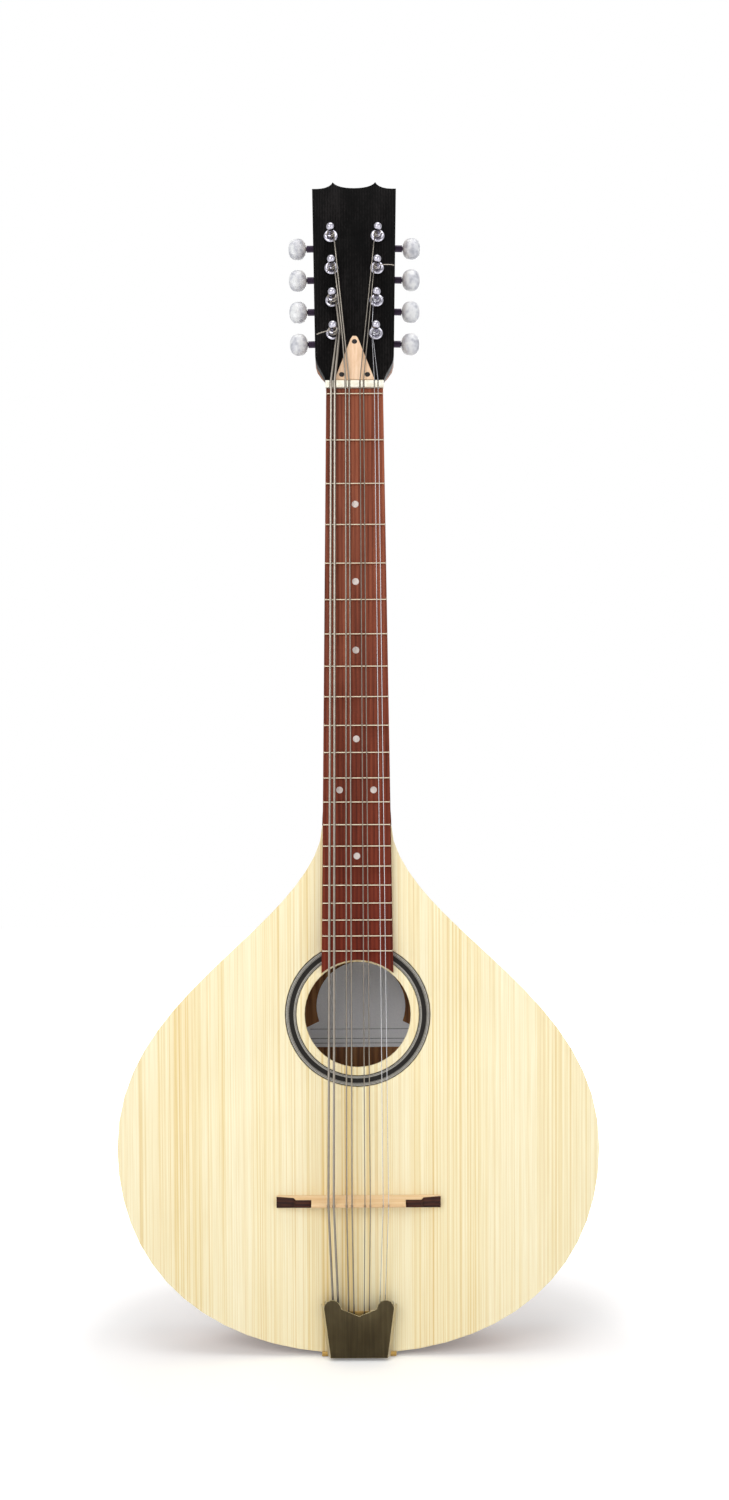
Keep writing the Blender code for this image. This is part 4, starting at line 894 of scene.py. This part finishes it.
class MANDOCELLO_OT_tuners(bpy.types.Operator):
    """Finishes the tuner plates, ferrules, posts, keys and buttons"""

    bl_idname = "mandocello.tuners"
    bl_label = "Tuners"

    def execute(self, context):
        chrome = metal("chrome plate", "A3A1AB", 0.14, strength=0.1)
        nickel = metal("nickel plate, satin", "A5A4A0", 0.3)
        purple = metal("steel, purple-black oxide", "2B2230", 0.3, metallic=0.9)
        pearl = pearloid()
        screw_steel = metal("screw steel, nickelled", "A9A8A4", 0.3)
        screws = screw_tree()
        for label, side in SIDES.items():
            dressed("tuner_plate_" + label, nickel, 0.0002)
            heads = []
            for number in TUNERS:
                name = f"{label}_{number}"
                self.add_tuner(name, label, side, number, (chrome, purple, pearl))
                place = tuner_matrix("post", label, number)
                gear = grown(screws, {"Radius": 0.0026, "Slot Width": 0.0006}, screw_steel)
                back = Matrix.Translation((0, WHEEL_BACK, 0)) @ Matrix.Rotation(math.pi, 4, "Z")
                gear.transform(place @ back)
                lay("gear_screw_" + name, gear, screw_steel, "post_body_" + name)
                for across in PLATE_SCREWS:
                    heads.append(place @ Vector((side * across, PLATE_BACK, PLATE_SCREW_DROP)))
            turn = Matrix.Rotation(-HEAD_TILT, 4, "X") @ Matrix.Rotation(math.pi, 4, "Z")
            local = [turn.inverted() @ point for point in heads]
            wood_screws = grown(screws, {"Radius": 0.0018, "Slot Width": 0.0005}, screw_steel, local)
            wood_screws.transform(turn)
            lay("plate_screws_" + label, wood_screws, screw_steel, "root")
        return {"FINISHED"}

    def add_tuner(self, name, label, side, number, finishes):
        chrome, purple, pearl = finishes
        place = tuner_matrix("post", label, number)
        ring = []
        for degrees in range(0, 91, 15):
            angle = math.radians(degrees)
            drop = 0.0015 * (1 - math.cos(angle))
            ring.append((FERRULE_NECK + FERRULE_ROLL * math.sin(angle), FERRULE_TOP + drop))
        foot = (FERRULE_BORE, FERRULE_FOOT)
        seat = HEAD_FACE - CLEAR
        profile = [foot, (FERRULE_BORE, FERRULE_TOP + 0.0002), (0.0035, FERRULE_TOP), *ring]
        profile += [(FERRULE_RIM, seat), (FERRULE_NECK, seat), (FERRULE_NECK, FERRULE_FOOT), foot]
        ferrule = turned(profile)
        ferrule.transform(place)
        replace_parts(lay("ferrule_ring_" + name, ferrule, chrome, "root"), "ferrule_" + name)
        dressed("post_" + name, chrome)
        profile = [(0.0, CAP_CENTRE - CAP_RADIUS)]
        for step in range(1, 15):
            angle = math.radians(step * 10)
            profile.append((CAP_RADIUS * math.sin(angle), CAP_CENTRE - CAP_RADIUS * math.cos(angle)))
        profile += [(0.00215, -0.0110), (0.00206, -0.0105), (0.00206, -0.0046)]
        profile += [(0.00295, -0.0043), (0.0, -0.0043)]
        cap = turned(profile)
        cap.transform(place)
        lay("post_cap_" + name, cap, chrome, "post_body_" + name)
        dressed("key_" + name, purple)
        self.add_button(name, label, side, number, pearl)

    def add_button(self, name, label, side, number, pearl):
        """An oval button with a flattened rim, a little larger than its solid."""
        bm = bmesh.new()
        bmesh.ops.create_uvsphere(bm, u_segments=40, v_segments=24, radius=1)
        for vert in bm.verts:
            x, y, z = vert.co
            reach = sum(abs(part) ** BUTTON_FLATNESS for part in (x, y, z)) ** (1 / BUTTON_FLATNESS)
            vert.co = Vector((x, y, z)) / max(reach, 1e-9)
        size = Matrix.Diagonal(BUTTON_RADII)
        offset = Matrix.Translation((side * BUTTON_REACH, 0, 0))
        bm.transform(tuner_matrix("key", label, number) @ offset @ size)
        mesh = bpy.data.meshes.new("button")
        bm.to_mesh(mesh)
        bm.free()
        button = lay("pearl_button_" + name, mesh, pearl, "key_body_" + name, angle=80)
        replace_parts(button, "button_" + name)


class MANDOCELLO_OT_strings(bpy.types.Operator):
    """Finishes the strings, winds them on the posts and leaves their loose ends"""

    bl_idname = "mandocello.strings"
    bl_label = "Strings"

    def execute(self, context):
        bronze_wrap = wound_wire()
        steel = metal("music wire, bright", "B4B4B8", 0.25)
        for name in GAUGES:
            finish = bronze_wrap if name in WOUND else steel
            for word in ("inner", "outer"):
                dressed(f"string_{name}_{word}", finish)
        windings = winding_tree()
        for label, side in SIDES.items():
            for number in TUNERS:
                self.wind(windings, label, side, number, bronze_wrap, steel)
        return {"FINISHED"}

    def wind(self, windings, label, side, number, bronze_wrap, steel):
        """The finer winding that covers the solid's, with the string's cut end standing off it."""
        course = POST_COURSES[label][number - 1]
        gauge = GAUGES[course]
        finish = bronze_wrap if course in WOUND else steel
        radius = POST_WAIST + WINDING_OFF_POST + gauge / 2
        pitch = max(gauge * WINDING_PITCH_SHARE, gauge + WINDING_LEAST_GAP)
        values = {
            "Turns": TURNS[course],
            "Radius": radius,
            "Rise": pitch * TURNS[course],
            "Wire Radius": gauge / 2 + 0.00002,
        }
        mesh = grown(windings, values, finish)
        start = FERRULE_TOP - CLEAR - gauge / 2
        mirror = Matrix.Diagonal((-side, 1, 1, 1))
        mesh.transform(
            tuner_matrix("post", label, number) @ mirror @ Matrix.Translation((0, start, 0)) @ FACING
        )
        if side > 0:
            mesh.flip_normals()
        name = f"{label}_{number}"
        lay("winding_" + name, mesh, finish, "post_body_" + name)
        top = start - pitch * TURNS[course] * 0.6
        length, degrees = LOOSE_ENDS[label][number - 1]
        angle = math.radians(degrees)
        ends = []
        for step in range(9):
            share = step / 8
            reach = POST_WAIST + length * share
            drop = LOOSE_END_SAG * length * share * share
            across = side * reach * math.cos(angle)
            ends.append((across, top - 0.001 * share, reach * math.sin(angle) - drop))
        tail = wire(ends, min(gauge, 0.0009) / 2)
        tail.transform(tuner_matrix("post", label, number))
        lay("string_end_" + name, tail, finish, "post_body_" + name)


class MANDOCELLO_OT_stage(bpy.types.Operator):
    """Adds the floor, backdrop, lights and camera"""

    bl_idname = "mandocello.stage"
    bl_label = "Stage"

    def execute(self, context):
        self.add_floor()
        self.add_world(context.scene)
        for lamp in LAMPS:
            self.add_lamp(*lamp)
        self.add_camera(context.scene)
        context.scene.view_settings.view_transform = "Standard"
        return {"FINISHED"}

    def add_floor(self):
        """A pale floor that glows white to the camera and in reflections, its glow dimmed round the instrument's
        foot as a painted shadow that deepens the real one.
        """
        bm = bmesh.new()
        bmesh.ops.create_grid(bm, x_segments=1, y_segments=1, size=6)
        bm.transform(Matrix.Translation((0, 0, FLOOR_Z)))
        mesh = bpy.data.meshes.new("floor")
        bm.to_mesh(mesh)
        bm.free()
        made, tree, shader, place = new_material("white floor, glowing, painted shadow", roughness=0.9, specular=0.0)
        shader.inputs["Base Color"].default_value = linear("F4F4F4")
        path = add_node(tree, "ShaderNodeLightPath")
        rays = {0: path.outputs["Is Camera Ray"], 1: path.outputs["Is Glossy Ray"]}
        seen = add_node(tree, "ShaderNodeMath", rays, operation="MAXIMUM")
        # Painted shadow: the glow is 0.16 within 0.22 m of the instrument's foot and rises to full at 0.55 m, so
        # the floor greys round the foot.
        ends = {0: place, 1: (0, 0.04, FLOOR_Z)}
        reach = add_node(tree, "ShaderNodeVectorMath", ends, operation="DISTANCE")
        limits = {"From Min": 0.22, "From Max": 0.55, "To Min": 0.16, "To Max": 1.0}
        share = add_node(tree, "ShaderNodeMapRange", {"Value": reach.outputs["Value"], **limits})
        glow = add_node(
            tree, "ShaderNodeMath", {0: seen.outputs[0], 1: share.outputs[0]}, operation="MULTIPLY"
        )
        shader.inputs["Emission Color"].default_value = (1, 1, 1, 1)
        tree.links.new(glow.outputs[0], shader.inputs["Emission Strength"])
        mesh.materials.append(made)
        floor = bpy.data.objects.new("floor", mesh)
        bpy.context.scene.collection.objects.link(floor)

    def add_world(self, scene):
        world = bpy.data.worlds.new("studio")
        world.use_nodes = True
        tree = world.node_tree
        tree.nodes.clear()
        path = add_node(tree, "ShaderNodeLightPath")
        rays = {0: path.outputs["Is Camera Ray"], 1: path.outputs["Is Glossy Ray"]}
        seen = add_node(tree, "ShaderNodeMath", rays, operation="MAXIMUM")
        rays = {0: seen.outputs[0], 1: path.outputs["Is Transmission Ray"]}
        both = add_node(tree, "ShaderNodeMath", rays, operation="MAXIMUM")
        limits = {"To Min": 0.45, "To Max": 1.0}
        strength = add_node(tree, "ShaderNodeMapRange", {"Value": both.outputs[0], **limits})
        light = add_node(tree, "ShaderNodeBackground", {0: (1, 1, 1, 1), 1: strength.outputs[0]})
        out = add_node(tree, "ShaderNodeOutputWorld")
        tree.links.new(light.outputs[0], out.inputs[0])
        scene.world = world

    def add_lamp(self, name, place, size, power):
        lamp = bpy.data.lights.new(name, "AREA")
        lamp.size = size
        lamp.energy = power
        obj = bpy.data.objects.new(name, lamp)
        aim = Vector(LAMP_AIM) - Vector(place)
        obj.matrix_world = Matrix.Translation(place) @ aim.to_track_quat("-Z", "Y").to_matrix().to_4x4()
        bpy.context.scene.collection.objects.link(obj)

    def add_camera(self, scene):
        """Stands where the photo was taken: 1.2 m off, level with the upper body, tipped down 2 degrees."""
        forward = Vector((0, math.cos(CAMERA_TIP), -math.sin(CAMERA_TIP)))
        level = Vector((0, math.sin(CAMERA_TIP), math.cos(CAMERA_TIP)))
        right = math.cos(CAMERA_ROLL) * Vector((1, 0, 0)) + math.sin(CAMERA_ROLL) * level
        up = -math.sin(CAMERA_ROLL) * Vector((1, 0, 0)) + math.cos(CAMERA_ROLL) * level
        camera = bpy.data.cameras.new("camera")
        camera.sensor_fit = "VERTICAL"
        camera.sensor_height = SENSOR
        camera.lens = FOCAL_PIXELS / PHOTO_HEIGHT * SENSOR
        camera.shift_y = LEVEL_PIXELS / PHOTO_HEIGHT - 0.5
        camera.clip_start = 0.05
        obj = bpy.data.objects.new("camera", camera)
        turn = Matrix((right, up, -forward)).transposed().to_4x4()
        obj.matrix_world = Matrix.Translation(CAMERA_PLACE) @ turn
        scene.collection.objects.link(obj)
        scene.camera = obj


class MANDOCELLO_PT_panel(bpy.types.Panel):
    """Lists the groups of pieces"""

    bl_label = "Mandocello"
    bl_idname = "MANDOCELLO_PT_panel"
    bl_space_type = "VIEW_3D"
    bl_region_type = "UI"
    bl_category = "Mandocello"

    def draw(self, context):
        for operator in OPERATORS:
            self.layout.operator(operator.bl_idname)
        for group in (context.scene.mandocello_sizes, context.scene.mandocello_colours):
            for name in group.__annotations__:
                self.layout.prop(group, name)


OPERATORS = (
    MANDOCELLO_OT_stage,
    MANDOCELLO_OT_body,
    MANDOCELLO_OT_rosette,
    MANDOCELLO_OT_neck,
    MANDOCELLO_OT_fretboard,
    MANDOCELLO_OT_bridge,
    MANDOCELLO_OT_tailpiece,
    MANDOCELLO_OT_tuners,
    MANDOCELLO_OT_strings,
)
CLASSES = (MandocelloSizes, MandocelloColours, *OPERATORS, MANDOCELLO_PT_panel)


def register():
    for cls in CLASSES:
        bpy.utils.register_class(cls)
    bpy.types.Scene.mandocello_sizes = PointerProperty(type=MandocelloSizes)
    bpy.types.Scene.mandocello_colours = PointerProperty(type=MandocelloColours)


def unregister():
    del bpy.types.Scene.mandocello_colours
    del bpy.types.Scene.mandocello_sizes
    for cls in reversed(CLASSES):
        bpy.utils.unregister_class(cls)


def main():
    register()
    bpy.ops.mandocello.stage()
    bpy.ops.mandocello.body()
    bpy.ops.mandocello.rosette()
    bpy.ops.mandocello.neck()
    bpy.ops.mandocello.fretboard()
    bpy.ops.mandocello.bridge()
    bpy.ops.mandocello.tailpiece()
    bpy.ops.mandocello.tuners()
    bpy.ops.mandocello.strings()


if __name__ == "__main__":
    main()
